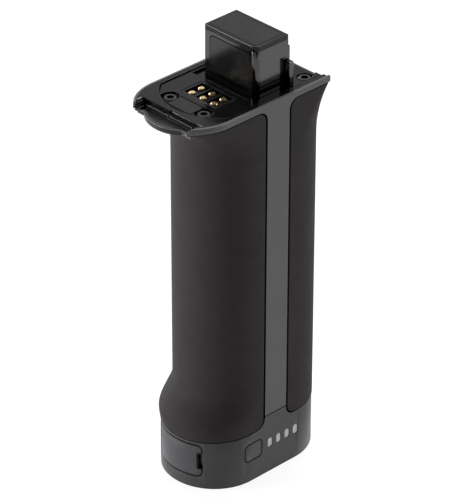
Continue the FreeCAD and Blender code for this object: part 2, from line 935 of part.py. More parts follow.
def make_rear_grip():
    """Rubber over the back, flared into the square rear corners of the top."""
    shape = outer_form.cut(core_form).common(rear_region(as_size(0)))
    finish(feature_of("rear_grip", shape), "rear_grip")


make_chassis()
make_front_grip()
make_rear_grip()


# Deck parts

def make_top_plate():
    """Dark plate round the insert, with the straight ridge of the nose."""
    body = new_body("top_plate")
    half = s.half_width - s.band_wall - s.fit_gap
    hole = insert_half + s.seam_gap
    hole_radius = s.insert_radius + s.seam_gap
    hole_front = -(s.insert_centre + root(hole_radius * hole_radius - hole * hole))
    tip = s.nose_half + s.fit_gap
    tip_y = -(s.plate_front_centre + root(half * half - tip * tip))
    rear = s.plate_rear - s.plate_rear_lip
    centre = (0, -s.plate_front_centre)
    pad_path(body, "plate", [
        (half, -s.plate_front_centre),
        (half, rear),
        (hole, rear),
        (hole, hole_front, (0, -s.insert_centre), "clockwise"),
        (-hole, hole_front),
        (-hole, rear),
        (-half, rear),
        (-half, -s.plate_front_centre, centre, "anticlockwise"),
        (-tip, tip_y),
        (-s.nose_inner_half, -s.ridge_place),
        (s.nose_inner_half, -s.ridge_place),
        (tip, tip_y, centre, "anticlockwise"),
    ], plate_bottom, s.deck_height)
    notch = [
        (-s.ridge_notch / 2, -s.ridge_place - 1),
        (s.ridge_notch / 2, -s.ridge_place - 1),
        (s.ridge_notch / 2, -s.ridge_place + s.ridge_notch),
        (-s.ridge_notch / 2, -s.ridge_place + s.ridge_notch),
    ]
    pocket_path(body, "notch", notch, ridge_step_height, s.deck_height)
    low, beyond = s.deck_height - s.nose_round, s.deck_height + 1
    for side, name in ((-1, "left_tip"), (1, "right_tip")):
        near, far = side * tip, side * (tip + s.nose_round)
        start = side * s.nose_inner_half
        turn = "clockwise" if side > 0 else "anticlockwise"
        outline = new_sketch(body, "XZ_Plane", name + "_outline", s.half_width * 2)
        add_path(outline, [
            (start, low),
            (near, low, (far, low), turn),
            (far, s.deck_height),
            (far, beyond),
            (start, beyond),
        ])
        pocket(body, outline, name, s.half_width * 2 - s.ridge_place)
    finish(body, "top_plate")


def crescent(inset, back):
    """Plan of the nose: a straight back, the lip's arc, and on each side a waist and a cheek."""
    radius = s.nose_lip_radius - inset
    half = s.nose_half - s.fit_gap * 2 - inset
    lip = s.nose_lip_half - inset
    lip_y = -(s.plate_front_centre + root(radius * radius - lip * lip))
    waist, waist_y = s.nose_waist_half - inset / 2, -s.nose_waist_front + inset
    cheek_y = -s.nose_cheek_front + inset
    return [
        (half, -as_size(back)),
        (-half, -as_size(back)),
        (-half, cheek_y),
        (-waist, waist_y),
        (-lip, lip_y, (0, -s.plate_front_centre), "anticlockwise"),
        (lip, lip_y),
        (waist, waist_y),
        (half, cheek_y),
    ]


def make_nose_catch():
    """Crescent tray at the nose, with a raised lip, a step below the ridge and two side holes."""
    body = new_body("nose_catch")
    outline = crescent(as_size(0), s.ridge_place + s.fit_gap)
    pad_path(body, "tray", outline, nose_bottom, nose_lip_height)
    hollow = crescent(s.nose_lip_wall, s.ridge_place)
    pocket_path(body, "hollow", hollow, nose_floor, nose_lip_height)
    step_back = -s.ridge_place - s.fit_gap
    pad_path(body, "step", [
        (-s.ridge_half, step_back - s.ridge_step_depth),
        (s.ridge_half, step_back - s.ridge_step_depth),
        (s.ridge_half, step_back),
        (-s.ridge_half, step_back),
    ], nose_floor, ridge_step_height)
    hole_front = step_back - s.ridge_step_depth - s.nose_hole_length
    for side, name in ((-1, "left_hole"), (1, "right_hole")):
        near, far = side * s.nose_hole_inner, side * s.nose_hole_outer
        hole_back = step_back - s.fit_gap
        corners = [(near, hole_front), (far, hole_front), (far, hole_back), (near, hole_back)]
        pocket_path(body, name, corners if side > 0 else corners[::-1], nose_hole_bottom, s.deck_height)
        wedge = new_sketch(body, "XZ_Plane", name + "_wedge_outline", s.half_width * 2)
        start, end = side * s.nose_cheek_start, side * (s.nose_half + s.nose_lip_wall)
        corners = [
            (start, nose_bottom - s.nose_lip_wall),
            (end, nose_bottom - s.nose_lip_wall),
            (end, nose_bottom + s.nose_cheek_rise),
            (start, nose_bottom),
        ]
        add_path(wedge, corners if side > 0 else corners[::-1])
        pocket(body, wedge, name + "_wedge", s.nose_cheek_depth)
    half = s.ridge_notch / 2
    step_front = step_back - s.ridge_step_depth - s.fit_gap
    notch = [(-half, step_front), (half, step_front), (half, step_back), (-half, step_back)]
    pocket_path(body, "notch", notch, nose_floor, ridge_step_height)
    finish(body, "nose_catch")


def make_deck_insert():
    """Plate that carries the dock: contact window, pad seat, floor and screw seats."""
    body = new_body("deck_insert")
    pad_path(body, "deck", insert_outline(as_size(0), s.plate_rear - s.rear_lip), plate_bottom, insert_top)
    pad_path(body, "underside", insert_outline(s.insert_ledge, underside_rear), insert_bottom, plate_bottom)
    rear = s.plate_rear + 1
    floor = [
        (-floor_half, -s.floor_front),
        (floor_half, -s.floor_front),
        (floor_half, s.floor_corner_front),
        (floor_rear_half, s.floor_corner_rear),
        (floor_rear_half, rear),
        (-floor_rear_half, rear),
        (-floor_rear_half, s.floor_corner_rear),
        (-floor_half, s.floor_corner_front),
    ]
    pocket_path(body, "floor", floor, floor_level, insert_top)
    window = [
        (-s.window_half, -s.window_front),
        (s.window_half, -s.window_front),
        (s.window_half, -s.window_rear),
        (-s.window_half, -s.window_rear),
    ]
    pocket_path(body, "window", window, insert_bottom, insert_top)
    gap = s.seam_gap / 2
    seat = [
        (-s.pad_half - gap, -s.pad_front - gap),
        (s.pad_half + gap, -s.pad_front - gap),
        (s.pad_half + gap, -s.pad_rear + gap),
        (-s.pad_half - gap, -s.pad_rear + gap),
    ]
    pocket_path(body, "pad_seat", seat, insert_top - s.pad_thickness, insert_top)
    for number, (x, y) in enumerate(front_screw_places, start=1):
        pocket_hole(body, f"screw_recess_{number}", x, y, s.front_screw_recess,
                    insert_top - s.pad_thickness, insert_top)
    places = [(x, y, front_head_top) for x, y in front_screw_places]
    places += [(x, y, rear_head_top) for x, y in rear_screw_places]
    for number, (x, y, head_top) in enumerate(places, start=1):
        pocket_hole(body, f"head_room_{number}", x, y, s.screw_head_radius + s.seam_gap,
                    head_top - s.screw_head_height, insert_top)
        pocket_hole(body, f"shank_room_{number}", x, y, s.screw_shank_radius + s.fit_gap,
                    insert_bottom, head_top - s.screw_head_height)
    finish(body, "deck_insert")


def make_front_pad():
    """Flat pad let into the insert between the front screws."""
    body = new_body("front_pad")
    points = rounded_rectangle(-s.pad_half, s.pad_half, -s.pad_front, -s.pad_rear, s.seam_gap * 2)
    pad_path(body, "pad", points, insert_top - s.pad_thickness, insert_top)
    finish(body, "front_pad")


carrier_top = insert_top - s.fit_gap
carrier_floor = carrier_top - s.carrier_floor
contact_places = [
    (column * s.contact_pitch_x, y)
    for column in (-1, 0, 1)
    for y in (-s.contact_row_front, -s.contact_row_rear)
]


def make_contact_carrier():
    """Tray in the window, with ribs between the three columns of contacts."""
    body = new_body("contact_carrier")
    gap = s.fit_gap
    outer = rounded_rectangle(-s.window_half + gap, s.window_half - gap, -s.window_front + gap,
                              -s.window_rear - gap, s.carrier_rib / 2)
    pad_path(body, "block", outer, insert_bottom, carrier_top)
    wall = gap + s.carrier_rib
    front, rear = -s.window_front + wall, -s.window_rear - wall
    rib = s.carrier_rib / 2
    half = s.window_half - wall
    middle = s.contact_pitch_x / 2
    wells = [(-half, -middle - rib), (-middle + rib, middle - rib), (middle + rib, half)]
    for number, (left, right) in enumerate(wells):
        well = [(left, front), (right, front), (right, rear), (left, rear)]
        pocket_path(body, f"well_{number + 1}", well, carrier_floor, carrier_top)
    for number, (x, y) in enumerate(contact_places, start=1):
        pocket_hole(body, f"stem_hole_{number}", x, y, s.contact_stem_radius + s.fit_gap / 2,
                    insert_bottom, carrier_floor)
    finish(body, "contact_carrier")


def make_contacts():
    """Six gold contacts, each a round head on a stem that reaches the board."""
    rise = s.contact_rise
    edge = s.seam_gap
    for number, (x, y) in enumerate(contact_places, start=1):
        body = new_body(f"contact_{number}")
        revolve(body, f"contact_form_{number}", [
            (0, insert_bottom),
            (s.contact_stem_radius, insert_bottom),
            (s.contact_stem_radius, carrier_floor),
            (s.contact_radius, carrier_floor),
            (s.contact_radius, carrier_floor + rise - edge),
            (s.contact_radius - edge, carrier_floor + rise),
            (0, carrier_floor + rise),
        ])
        place(body, x, y)
        finish(body, f"contact_{number}")


contact_board_bottom = insert_bottom - s.board_thickness


def make_contact_board():
    """Small board under the insert that the contacts stand on."""
    body = new_body("contact_board")
    edge = s.carrier_rib
    points = rounded_rectangle(-s.window_half - edge, s.window_half + edge, -s.window_front - edge,
                               -s.window_rear + edge, edge)
    pad_path(body, "board", points, contact_board_bottom, insert_bottom)
    finish(body, "contact_board")


def make_guide_block():
    """Hollow block that guides the dock, with its panel seat and a notch under the cap."""
    body = new_body("guide_block")
    pad_path(body, "block", block_outline(s.block_rear), floor_level, cap_bottom)
    half, wall = block_half - s.block_wall, s.block_wall
    hollow = rounded_rectangle(-half, half, -s.block_front + wall, s.cap_rear - wall, s.block_back_corner)
    pocket_path(body, "hollow", hollow, floor_level, cap_bottom - wall)
    notch = new_sketch(body, "YZ_Plane", "notch_outline", s.half_width)
    beyond = s.block_rear + 1
    add_path(notch, [
        (s.block_rear, notch_bottom - (s.block_rear - s.notch_rear)),
        (beyond, notch_bottom - (s.block_rear - s.notch_rear)),
        (beyond, cap_bottom),
        (s.notch_rear, cap_bottom),
        (s.notch_rear, notch_bottom),
    ])
    pocket(body, notch, "notch", s.half_width * 2)
    seat = new_sketch(body, "XZ_Plane", "panel_seat_outline", s.block_front)
    gap = s.fit_gap
    add_path(seat, rounded_rectangle(-panel_half - gap, panel_half + gap, panel_bottom - gap,
                                     panel_top + s.panel_lip, s.panel_corner + gap))
    pocket(body, seat, "panel_seat", s.panel_thickness + s.panel_inset)
    finish(body, "guide_block")


def make_block_panel():
    """Panel let into the front of the block, a little below its face."""
    face = -s.block_front + s.panel_inset
    points = rounded_rectangle(-panel_half, panel_half, panel_bottom, panel_top, s.panel_corner)
    body = prism_along_y("block_panel", points, face, face + s.panel_thickness)
    finish(body, "block_panel")


def make_block_cap():
    """Cap of the block, with a seat for the blank label and a rounded rear edge."""
    body = new_body("block_cap")
    cap = pad_path(body, "cap", block_outline(s.cap_rear), cap_bottom, block_top)
    edge = dress_level(body, cap, "PartDesign::Chamfer", "cap_edge", block_top)
    bind(edge, "Size", s.cap_edge)
    rounding = new_sketch(body, "YZ_Plane", "cap_round_outline", s.half_width)
    beyond = s.cap_rear + 1
    middle = (s.cap_rear - s.cap_round, block_top - s.cap_round)
    add_path(rounding, [
        (s.cap_rear, middle[1]),
        (beyond, middle[1]),
        (beyond, block_top + 1),
        (middle[0], block_top + 1),
        (middle[0], block_top, middle, "clockwise"),
    ])
    pocket(body, rounding, "cap_round", s.half_width * 2)
    seat = [
        (-label_half, -s.label_front),
        (label_half, -s.label_front),
        (label_half, s.label_rear),
        (-label_half, s.label_rear),
    ]
    pocket_path(body, "label_seat", seat, block_top - s.label_thickness, block_top)
    finish(body, "block_cap")


def make_label():
    """Blank label on top of the cap."""
    body = new_body("blank_label")
    gap = s.fit_gap
    points = rounded_rectangle(-label_half + gap, label_half - gap, -s.label_front + gap,
                               s.label_rear - gap, s.seam_gap * 2)
    pad_path(body, "label", points, block_top - s.label_thickness, block_top)
    finish(body, "blank_label")


def make_guide_post(side, label):
    """Round topped post beside the rear corner of the block."""
    body = new_body(label)
    inner, outer = (post_inner, post_outer) if side > 0 else (-post_outer, -post_inner)
    points = rounded_rectangle(inner, outer, s.post_front, s.post_rear, s.post_corner)
    post = pad_path(body, label + "_form", points, floor_level, post_top)
    edge = dress_level(body, post, "PartDesign::Fillet", label + "_top", post_top)
    bind(edge, "Radius", s.post_round)
    finish(body, label)


# Fasteners

def hexagon(radius):
    """Corners of a six sided outline about the middle."""
    corners = [math.radians(60 * number) for number in range(6)]
    return [(radius * math.cos(angle), radius * math.sin(angle)) for angle in corners]


def make_screw(name, x, y, head_top, head_radius, head_height, shank_radius, length, downwards=False):
    """A low headed screw with a six sided socket. It points down, or up when turned over."""
    body = new_body(name)
    edge = s.seam_gap
    revolve(body, name + "_form", [
        (0, -length),
        (shank_radius, -length),
        (shank_radius, -head_height),
        (head_radius, -head_height),
        (head_radius, -edge),
        (head_radius - edge, 0),
        (0, 0),
    ])
    socket = new_sketch(body, "XY_Plane", name + "_socket_outline", 0)
    add_path(socket, hexagon(s.screw_socket_radius * (head_radius / s.screw_head_radius)))
    pocket(body, socket, name + "_socket", s.screw_socket_depth * (head_height / s.screw_head_height))
    if downwards:
        body.Placement = FreeCAD.Placement(FreeCAD.Vector(), FreeCAD.Rotation(FreeCAD.Vector(1, 0, 0), 180))
    place(body, x, y, head_top)
    return body


def make_deck_screws():
    """Two screws at the front of the insert and two at its rear."""
    for label, places, head_top in (
        ("front_screws", front_screw_places, front_head_top),
        ("rear_screws", rear_screw_places, rear_head_top),
    ):
        screws = [
            make_screw(f"{label}_{number}", x, y, head_top, s.screw_head_radius, s.screw_head_height,
                       s.screw_shank_radius, s.screw_length)
            for number, (x, y) in enumerate(places, start=1)
        ]
        finish(group(label, *screws), label)


make_top_plate()
make_nose_catch()
make_deck_insert()
make_front_pad()
make_contact_carrier()
make_contacts()
make_contact_board()
make_guide_block()
make_block_panel()
make_block_cap()
make_label()
make_guide_post(1, "guide_post_right")
make_guide_post(-1, "guide_post_left")
make_deck_screws()


# Base parts

base_inner = s.half_width - s.base_wall
ledge_top = s.foot_recess + s.foot_thickness + s.ledge_thickness
neck_half = cavity_half
neck_bottom = s.cover_top + s.cover_gap
cover_inner = s.half_width - s.cover_thickness
recess_inner = cover_inner - s.cover_gap
hinge_radius = (s.half_width + cover_inner) / 2
hinge_y = -(s.base_front_centre + root(hinge_radius * hinge_radius - s.cover_hinge_x * s.cover_hinge_x))
socket_middle = charge_board_top + s.socket_height / 2
cover_front = -(s.base_front_centre + s.half_width)
cover_back = -(s.base_front_centre + base_inner / 2)
socket_front = cover_front + s.socket_setback
light_places = [number * s.light_pitch - s.light_first_y for number in range(LIGHT_COUNT)]


def add_at(body, name, points, offset, length):
    """Pad an outline that is seen from the side, starting at an X place."""
    sketch = new_sketch(body, "YZ_Plane", name + "_outline", offset)
    add_path(sketch, points)
    return pad(body, sketch, name, length)


def button_outline(growth):
    """Outline of the power button, seen from the side."""
    half_y = s.button_width / 2 + growth
    half_z = s.button_height / 2 + growth
    return rounded_rectangle(-s.button_y - half_y, -s.button_y + half_y, s.button_z - half_z,
                             s.button_z + half_z, s.button_corner + growth)


def light_outline(y, growth):
    """Outline of one level light, seen from the side."""
    half_y = s.light_width / 2 + growth
    half_z = s.light_height / 2 + growth
    return rounded_rectangle(y - half_y, y + half_y, s.button_z - half_z, s.button_z + half_z,
                             half_y * s.light_end_round)


def cover_outline(left, growth):
    """Outline of the socket cover, seen from the front, with its notch for a finger."""
    right = s.cover_right + growth
    bottom = s.cover_bottom - growth
    top = s.cover_top + growth
    return rounded_rectangle(left, right, bottom, top, s.cover_corner + growth)


def ring_sector(name, inner, outer, points):
    """The part of a round wall about the base's front centre that an outline covers."""
    front = -(s.base_front_centre + s.half_width + CUT_START)
    prism = prism_along_y(name + "_prism", points, front, front + s.half_width / 2)
    bottom, top = s.cover_bottom - s.cover_corner, s.cover_top + s.cover_corner
    disc = cylinder(name + "_disc", outer, 0, -s.base_front_centre, bottom, top)
    core = cylinder(name + "_core", inner, 0, -s.base_front_centre, bottom, top)
    wall = cut(name + "_wall", disc, core)
    return common(name, wall, prism)


def make_base_housing():
    """Shell of the base with its ledge, neck, posts and all its openings."""
    body = new_body("base_blank")
    front, rear = s.base_front_centre, s.rear_centre
    outer = pad_path(body, "wall", stadium(s.half_width, front, rear), 0, s.base_height)
    chamfer = dress_level(body, outer, "PartDesign::Chamfer", "foot_edge", 0)
    bind(chamfer, "Size", s.base_edge)
    ledge_bottom = ledge_top - s.ledge_thickness
    pocket_path(body, "foot_seat", stadium(base_inner, front, rear), 0, ledge_bottom)
    ledge_hole = stadium(base_inner - s.ledge_width, front, rear)
    pocket_path(body, "ledge_hole", ledge_hole, ledge_bottom, ledge_top)
    pocket_path(body, "room", stadium(base_inner, front, rear), ledge_top, neck_bottom)
    pocket_path(body, "neck", stadium(neck_half, front, rear), neck_bottom, s.base_height)
    for number, (x, y) in enumerate(foot_screw_places, start=1):
        pocket_hole(body, f"foot_hole_{number}", x, y, s.foot_screw_shank_radius + s.fit_gap,
                    ledge_bottom, ledge_top)
    button = new_sketch(body, "YZ_Plane", "button_hole_outline", s.half_width + CUT_START)
    add_path(button, button_outline(s.button_gap))
    pocket(body, button, "button_hole", s.base_wall + CUT_MARGIN)
    for number, y in enumerate(light_places, start=1):
        light = new_sketch(body, "YZ_Plane", f"light_hole_{number}_outline", s.half_width + CUT_START)
        add_path(light, light_outline(y, s.fit_gap / 2))
        pocket(body, light, f"light_hole_{number}", s.base_wall + CUT_MARGIN)
    hinge_left = -s.cover_hinge_x - s.cover_knuckle_radius - s.cover_gap
    sector = ring_sector("recess_sector", recess_inner, s.half_width + CUT_START,
                         cover_outline(hinge_left - s.cover_corner * 2, s.cover_gap))
    side = box("recess_left_side", hinge_left - s.half_width, hinge_left, -REACH, 0, 0, s.base_height)
    recess = cut("cover_recess", sector, side)
    slot_half = s.socket_width / 2 + s.cover_gap * 2
    slot_height = s.socket_height / 2 + s.cover_gap
    slot = prism_along_y("socket_slot", rounded_rectangle(
        -slot_half, slot_half, socket_middle - slot_height, socket_middle + slot_height,
        slot_height * s.slot_end_round), cover_front, cover_back)
    pin_low = s.cover_bottom - s.cover_gap - s.cover_pin_overhang
    pin_high = s.cover_top + s.cover_gap + s.cover_pin_overhang
    hinge_x = -s.cover_hinge_x
    pin_hole = cylinder("pin_hole", s.cover_pin_radius + s.fit_gap / 2, hinge_x, hinge_y, pin_low, pin_high)
    room = feature_of("grip_room", grip_room)
    knuckle_room = cylinder("knuckle_room", s.cover_knuckle_radius + s.cover_gap, hinge_x, hinge_y,
                            s.cover_bottom - s.cover_gap, s.cover_top + s.cover_gap)
    shell = cut("base_shell", body, recess, knuckle_room, slot, pin_hole, room)
    posts = [
        cylinder(f"board_post_{number}", s.board_post_radius, x, y, ledge_top, s.charge_board_height)
        for number, (x, y) in enumerate(board_post_places, start=1)
    ]
    shank = s.screw_shank_radius + s.fit_gap
    bosses = []
    for number, (x, y) in enumerate(frame_screw_places, start=1):
        boss = cylinder(f"base_boss_{number}", s.screw_head_radius, x, y, neck_bottom, s.base_height)
        hole = cylinder(f"base_boss_hole_{number}", shank, x, y, neck_bottom, s.base_height)
        bosses.append(cut(f"base_boss_ring_{number}", boss, hole))
    screw_rooms = [
        cylinder(f"frame_room_{number}", shank, x, y, neck_bottom, s.base_height)
        for number, (x, y) in enumerate(frame_screw_places, start=1)
    ]
    drilled = cut("base_drilled", shell, *screw_rooms)
    finish(fuse("base_housing_form", drilled, *posts, *bosses), "base_housing")


foot_screw_ring = s.half_width - s.foot_screw_inset - s.base_wall + s.ledge_width / 2
foot_screw_diagonal = foot_screw_ring * math.sqrt(0.5)
foot_screw_places = [
    (side * foot_screw_diagonal, y)
    for y in (-s.base_front_centre - foot_screw_diagonal, s.rear_centre + foot_screw_diagonal)
    for side in (-1, 1)
]
board_post_places = [
    (side * s.board_post_x, y)
    for y in (-s.base_front_centre - s.board_post_reach, s.rear_centre + s.board_post_reach)
    for side in (-1, 1)
]


def make_base_seal():
    """Thin seal between the base and the shell of the handle."""
    body = new_body("base_seal")
    top = s.base_height + s.seal_thickness
    front, rear = s.base_front_centre, s.rear_centre
    pad_path(body, "ring", stadium(neck_half + s.shell_wall, front, rear), s.base_height, top)
    pocket_path(body, "hole", stadium(neck_half, front, rear), s.base_height, top)
    for number, (x, y) in enumerate(frame_screw_places, start=1):
        pocket_hole(body, f"seal_hole_{number}", x, y, s.screw_shank_radius + s.fit_gap, s.base_height, top)
    finish(body, "base_seal")


def make_foot_plate():
    """Plate that closes the base, with the seat of the threaded bush."""
    body = new_body("foot_plate")
    bottom, top = s.foot_recess, s.foot_recess + s.foot_thickness
    pad_path(body, "foot", stadium(base_inner - s.fit_gap, s.base_front_centre, s.rear_centre), bottom, top)
    gap = s.fit_gap / 2
    pocket_hole(body, "bush_hole", 0, 0, s.bush_radius + gap, bottom, top)
    pocket_hole(body, "bush_flange_seat", 0, 0, s.bush_flange_radius + gap, top - s.bush_flange, top)
    for number, (x, y) in enumerate(foot_screw_places, start=1):
        pocket_hole(body, f"foot_head_{number}", x, y, s.foot_screw_head_radius + s.fit_gap,
                    bottom, bottom + s.foot_screw_head_height)
        pocket_hole(body, f"foot_shank_{number}", x, y, s.foot_screw_shank_radius + s.fit_gap, bottom, top)
    finish(body, "foot_plate")


def make_foot_screws():
    """Four screws that hold the foot plate, with their heads underneath."""
    screws = [
        make_screw(f"foot_screw_{number}", x, y, s.foot_recess, s.foot_screw_head_radius,
                   s.foot_screw_head_height, s.foot_screw_shank_radius, s.foot_screw_length, True)
        for number, (x, y) in enumerate(foot_screw_places, start=1)
    ]
    finish(group("foot_screws", *screws), "foot_screws")


def make_frame_screws():
    """Four screws that hold the base to the shell, driven from inside the base."""
    head_top = neck_bottom - s.screw_head_height
    length = s.screw_length + s.screw_head_height
    screws = [
        make_screw(f"frame_screw_{number}", x, y, head_top, s.frame_screw_head_radius,
                   s.screw_head_height, s.screw_shank_radius, length, True)
        for number, (x, y) in enumerate(frame_screw_places, start=1)
    ]
    finish(group("frame_screws", *screws), "frame_screws")


def make_tripod_bush():
    """Brass bush with a blind quarter inch camera thread, open underneath."""
    body = new_body("tripod_bush")
    top = s.foot_recess + s.foot_thickness
    revolve(body, "bush", [
        (s.bush_bore, 0),
        (s.bush_radius, 0),
        (s.bush_radius, top - s.bush_flange),
        (s.bush_flange_radius, top - s.bush_flange),
        (s.bush_flange_radius, top),
        (s.bush_radius, top),
        (s.bush_radius, s.bush_height),
        (0, s.bush_height),
        (0, s.bush_bore_depth),
        (s.bush_bore, s.bush_bore_depth),
    ])
    finish(body, "tripod_bush")


def make_charge_board():
    """Main board of the base, on its four posts."""
    body = new_body("charge_board")
    half = base_inner - s.charge_board_margin
    pad_path(body, "board", stadium(half, s.base_front_centre + s.charge_board_margin / 2, s.rear_centre),
             s.charge_board_height, charge_board_top)
    finish(body, "charge_board")


def make_charge_socket():
    """Metal shell of the charging socket with its tongue, facing forwards."""
    half = s.socket_width / 2
    bottom, top = charge_board_top, charge_board_top + s.socket_height
    rear = socket_front + s.socket_length
    wall = s.socket_wall
    corner = s.socket_height * s.socket_end_round
    outside = rounded_rectangle(-half, half, bottom, top, corner)
    shell = prism_along_y("socket_shell", outside, socket_front, rear)
    inside = rounded_rectangle(-half + wall, half - wall, bottom + wall, top - wall, corner - wall)
    room = prism_along_y("socket_room", inside, socket_front - 1, rear - wall * 2)
    tongue_half = half * s.tongue_share
    tongue = box("socket_tongue", -tongue_half, tongue_half, socket_front + wall * 2, rear,
                 socket_middle - wall, socket_middle + wall)
    finish(fuse("socket_form", cut("socket_hollow", shell, room), tongue), "charge_socket")


def make_socket_cover():
    """Curved cover of the charging socket, hinged at its left end."""
    left = -s.cover_hinge_x
    outline = cover_outline(left - s.cover_corner, as_size(0))
    flap = ring_sector("cover_flap", cover_inner, s.half_width, outline)
    side = box("cover_left_side", left - s.half_width, left, -REACH, 0, 0, s.base_height)
    notch_half = s.cover_notch_height / 2
    middle = (s.cover_bottom + s.cover_top) / 2
    notch = box("cover_notch", s.cover_right - s.cover_notch_width, s.half_width, -REACH, 0,
                middle - notch_half, middle + notch_half)
    knuckle = cylinder("cover_knuckle", s.cover_knuckle_radius, left, hinge_y, s.cover_bottom, s.cover_top)
    plug_half = s.socket_width / 2 - s.cover_gap
    plug_height = s.socket_height / 2 - s.cover_gap
    plug_prism = prism_along_y("cover_plug_prism", rounded_rectangle(
        -plug_half, plug_half, socket_middle - plug_height, socket_middle + plug_height,
        plug_height * s.slot_end_round), cover_front, cover_back)
    low, high = s.cover_bottom, s.cover_top
    plug_disc = cylinder("cover_plug_disc", cover_inner, 0, -s.base_front_centre, low, high)
    plug_core = cylinder("cover_plug_core", cover_inner - s.cover_plug_depth, 0, -s.base_front_centre,
                         low, high)
    plug = common("cover_plug", cut("cover_plug_wall", plug_disc, plug_core), plug_prism)
    pin_hole = cylinder("cover_pin_hole", s.cover_pin_radius + s.fit_gap / 2, left, hinge_y,
                        s.cover_bottom, s.cover_top)
    trimmed = cut("cover_trimmed", flap, side, notch)
    finish(cut("socket_cover_form", fuse("cover_joined", trimmed, knuckle, plug), pin_hole), "socket_cover")


def make_cover_pin():
    """Upright pin that the cover turns on."""
    low = s.cover_bottom - s.cover_gap - s.cover_pin_overhang
    high = s.cover_top + s.cover_gap + s.cover_pin_overhang
    finish(cylinder("cover_pin", s.cover_pin_radius, -s.cover_hinge_x, hinge_y, low, high), "cover_pin")


flange_half = s.button_width / 2 + s.button_flange
flange_outer = root(base_inner * base_inner - flange_half * flange_half) - s.cover_gap
stem_end = flange_outer - s.button_flange_thickness - s.button_stem_length


def make_power_button():
    """Push button that lies flush in the side, with its flange and stem behind the wall."""
    body = new_body("power_button")
    half = s.half_width - s.fit_gap / 2
    pad_path(body, "button_blank", stadium(half, s.base_front_centre, s.rear_centre),
             s.button_z - s.button_height, s.button_z + s.button_height)
    outline = new_sketch(body, "YZ_Plane", "button_keep_outline", s.half_width + CUT_START)
    frame = [(-REACH, -REACH), (REACH, -REACH), (REACH, REACH), (-REACH, REACH)]
    add_path(outline, frame)
    add_path(outline, button_outline(as_size(0)))
    pocket(body, outline, "button_keep", s.half_width * 2 + CUT_MARGIN)
    behind = new_sketch(body, "YZ_Plane", "button_behind_outline", flange_outer)
    add_path(behind, frame)
    pocket(body, behind, "button_behind", s.half_width * 2 + CUT_MARGIN)
    flange = button_outline(s.button_flange)
    add_at(body, "flange", flange, flange_outer - s.button_flange_thickness, s.button_flange_thickness)
    stem = new_sketch(body, "YZ_Plane", "stem_outline", stem_end)
    add_circle(stem, -s.button_y, s.button_z, s.button_stem_radius)
    pad(body, stem, "stem", s.button_stem_length)
    finish(body, "power_button")


def make_power_switch():
    """Small switch on the board, pushed sideways by the button's stem."""
    front = stem_end - s.button_travel - s.switch_clearance
    face = front - s.switch_plunger
    half = s.switch_width / 2
    middle = -s.button_y
    case = box("switch_case", face - s.switch_depth, face, middle - half, middle + half,
               charge_board_top, charge_board_top + s.switch_height)
    plunger = prism_along_x("switch_plunger", rounded_rectangle(
        middle - s.button_stem_radius, middle + s.button_stem_radius,
        s.button_z - s.button_stem_radius, s.button_z + s.button_stem_radius,
        s.button_stem_radius / 2), face, front)
    finish(fuse("switch_form", case, plunger), "power_switch")


def make_light_guide():
    """Clear moulding with four lenses that fill the side windows and one bar behind."""
    body = new_body("light_guide")
    bar_outer = base_inner - s.cover_gap
    bar_inner = bar_outer - s.light_bar_thickness
    margin = s.light_width / 2 + s.fit_gap
    half_z = s.light_height / 2 - s.fit_gap
    bar = rounded_rectangle(light_places[0] - margin, light_places[-1] + margin,
                            charge_board_top + s.cover_gap, s.button_z + half_z, s.seam_gap)
    add_at(body, "bar", bar, bar_inner, s.light_bar_thickness)
    for number, y in enumerate(light_places, start=1):
        add_at(body, f"lens_{number}", light_outline(y, as_size(0)), bar_outer,
               s.half_width - s.light_recess - bar_outer)
    finish(body, "light_guide")


def make_level_lights():
    """Four small lights on the board behind the guide."""
    rear = base_inner - s.cover_gap - s.light_bar_thickness - s.cover_gap
    lights = [
        box(f"level_light_{number}", rear - s.led_size, rear, y - s.led_size / 2, y + s.led_size / 2,
            charge_board_top, charge_board_top + s.led_height)
        for number, y in enumerate(light_places, start=1)
    ]
    finish(group("level_lights", *lights), "level_lights")


# Cells and their frame

def make_cell_frame():
    """Open frame that holds the stack of cells on the shelf, with posts for the board."""
    half_x = stack_half + s.frame_gap + s.frame_wall
    half_y = s.cell_width / 2 + s.frame_gap + s.frame_wall
    middle = s.cell_middle_y
    body = new_body("cell_frame")
    frame = rounded_rectangle(-half_x, half_x, middle - half_y, middle + half_y, s.frame_wall)
    pad_path(body, "frame", frame, frame_bottom, board_bottom)
    room_x, room_y = half_x - s.frame_wall, half_y - s.frame_wall
    room = rounded_rectangle(-room_x, room_x, middle - room_y, middle + room_y, s.frame_gap)
    pocket_path(body, "cell_room", room, cells_bottom, board_bottom)
    side = half_x - s.frame_post_width
    low, high = middle - half_y - 1, middle + half_y + 1
    across = [(-side, low), (side, low), (side, high), (-side, high)]
    pocket_path(body, "gap_across", across, cells_top, board_bottom)
    side = half_y - s.frame_post_width
    low, high = middle - side, middle + side
    along = [(-half_x - 1, low), (half_x + 1, low), (half_x + 1, high), (-half_x - 1, high)]
    pocket_path(body, "gap_along", along, cells_top, board_bottom)
    finish(body, "cell_frame")


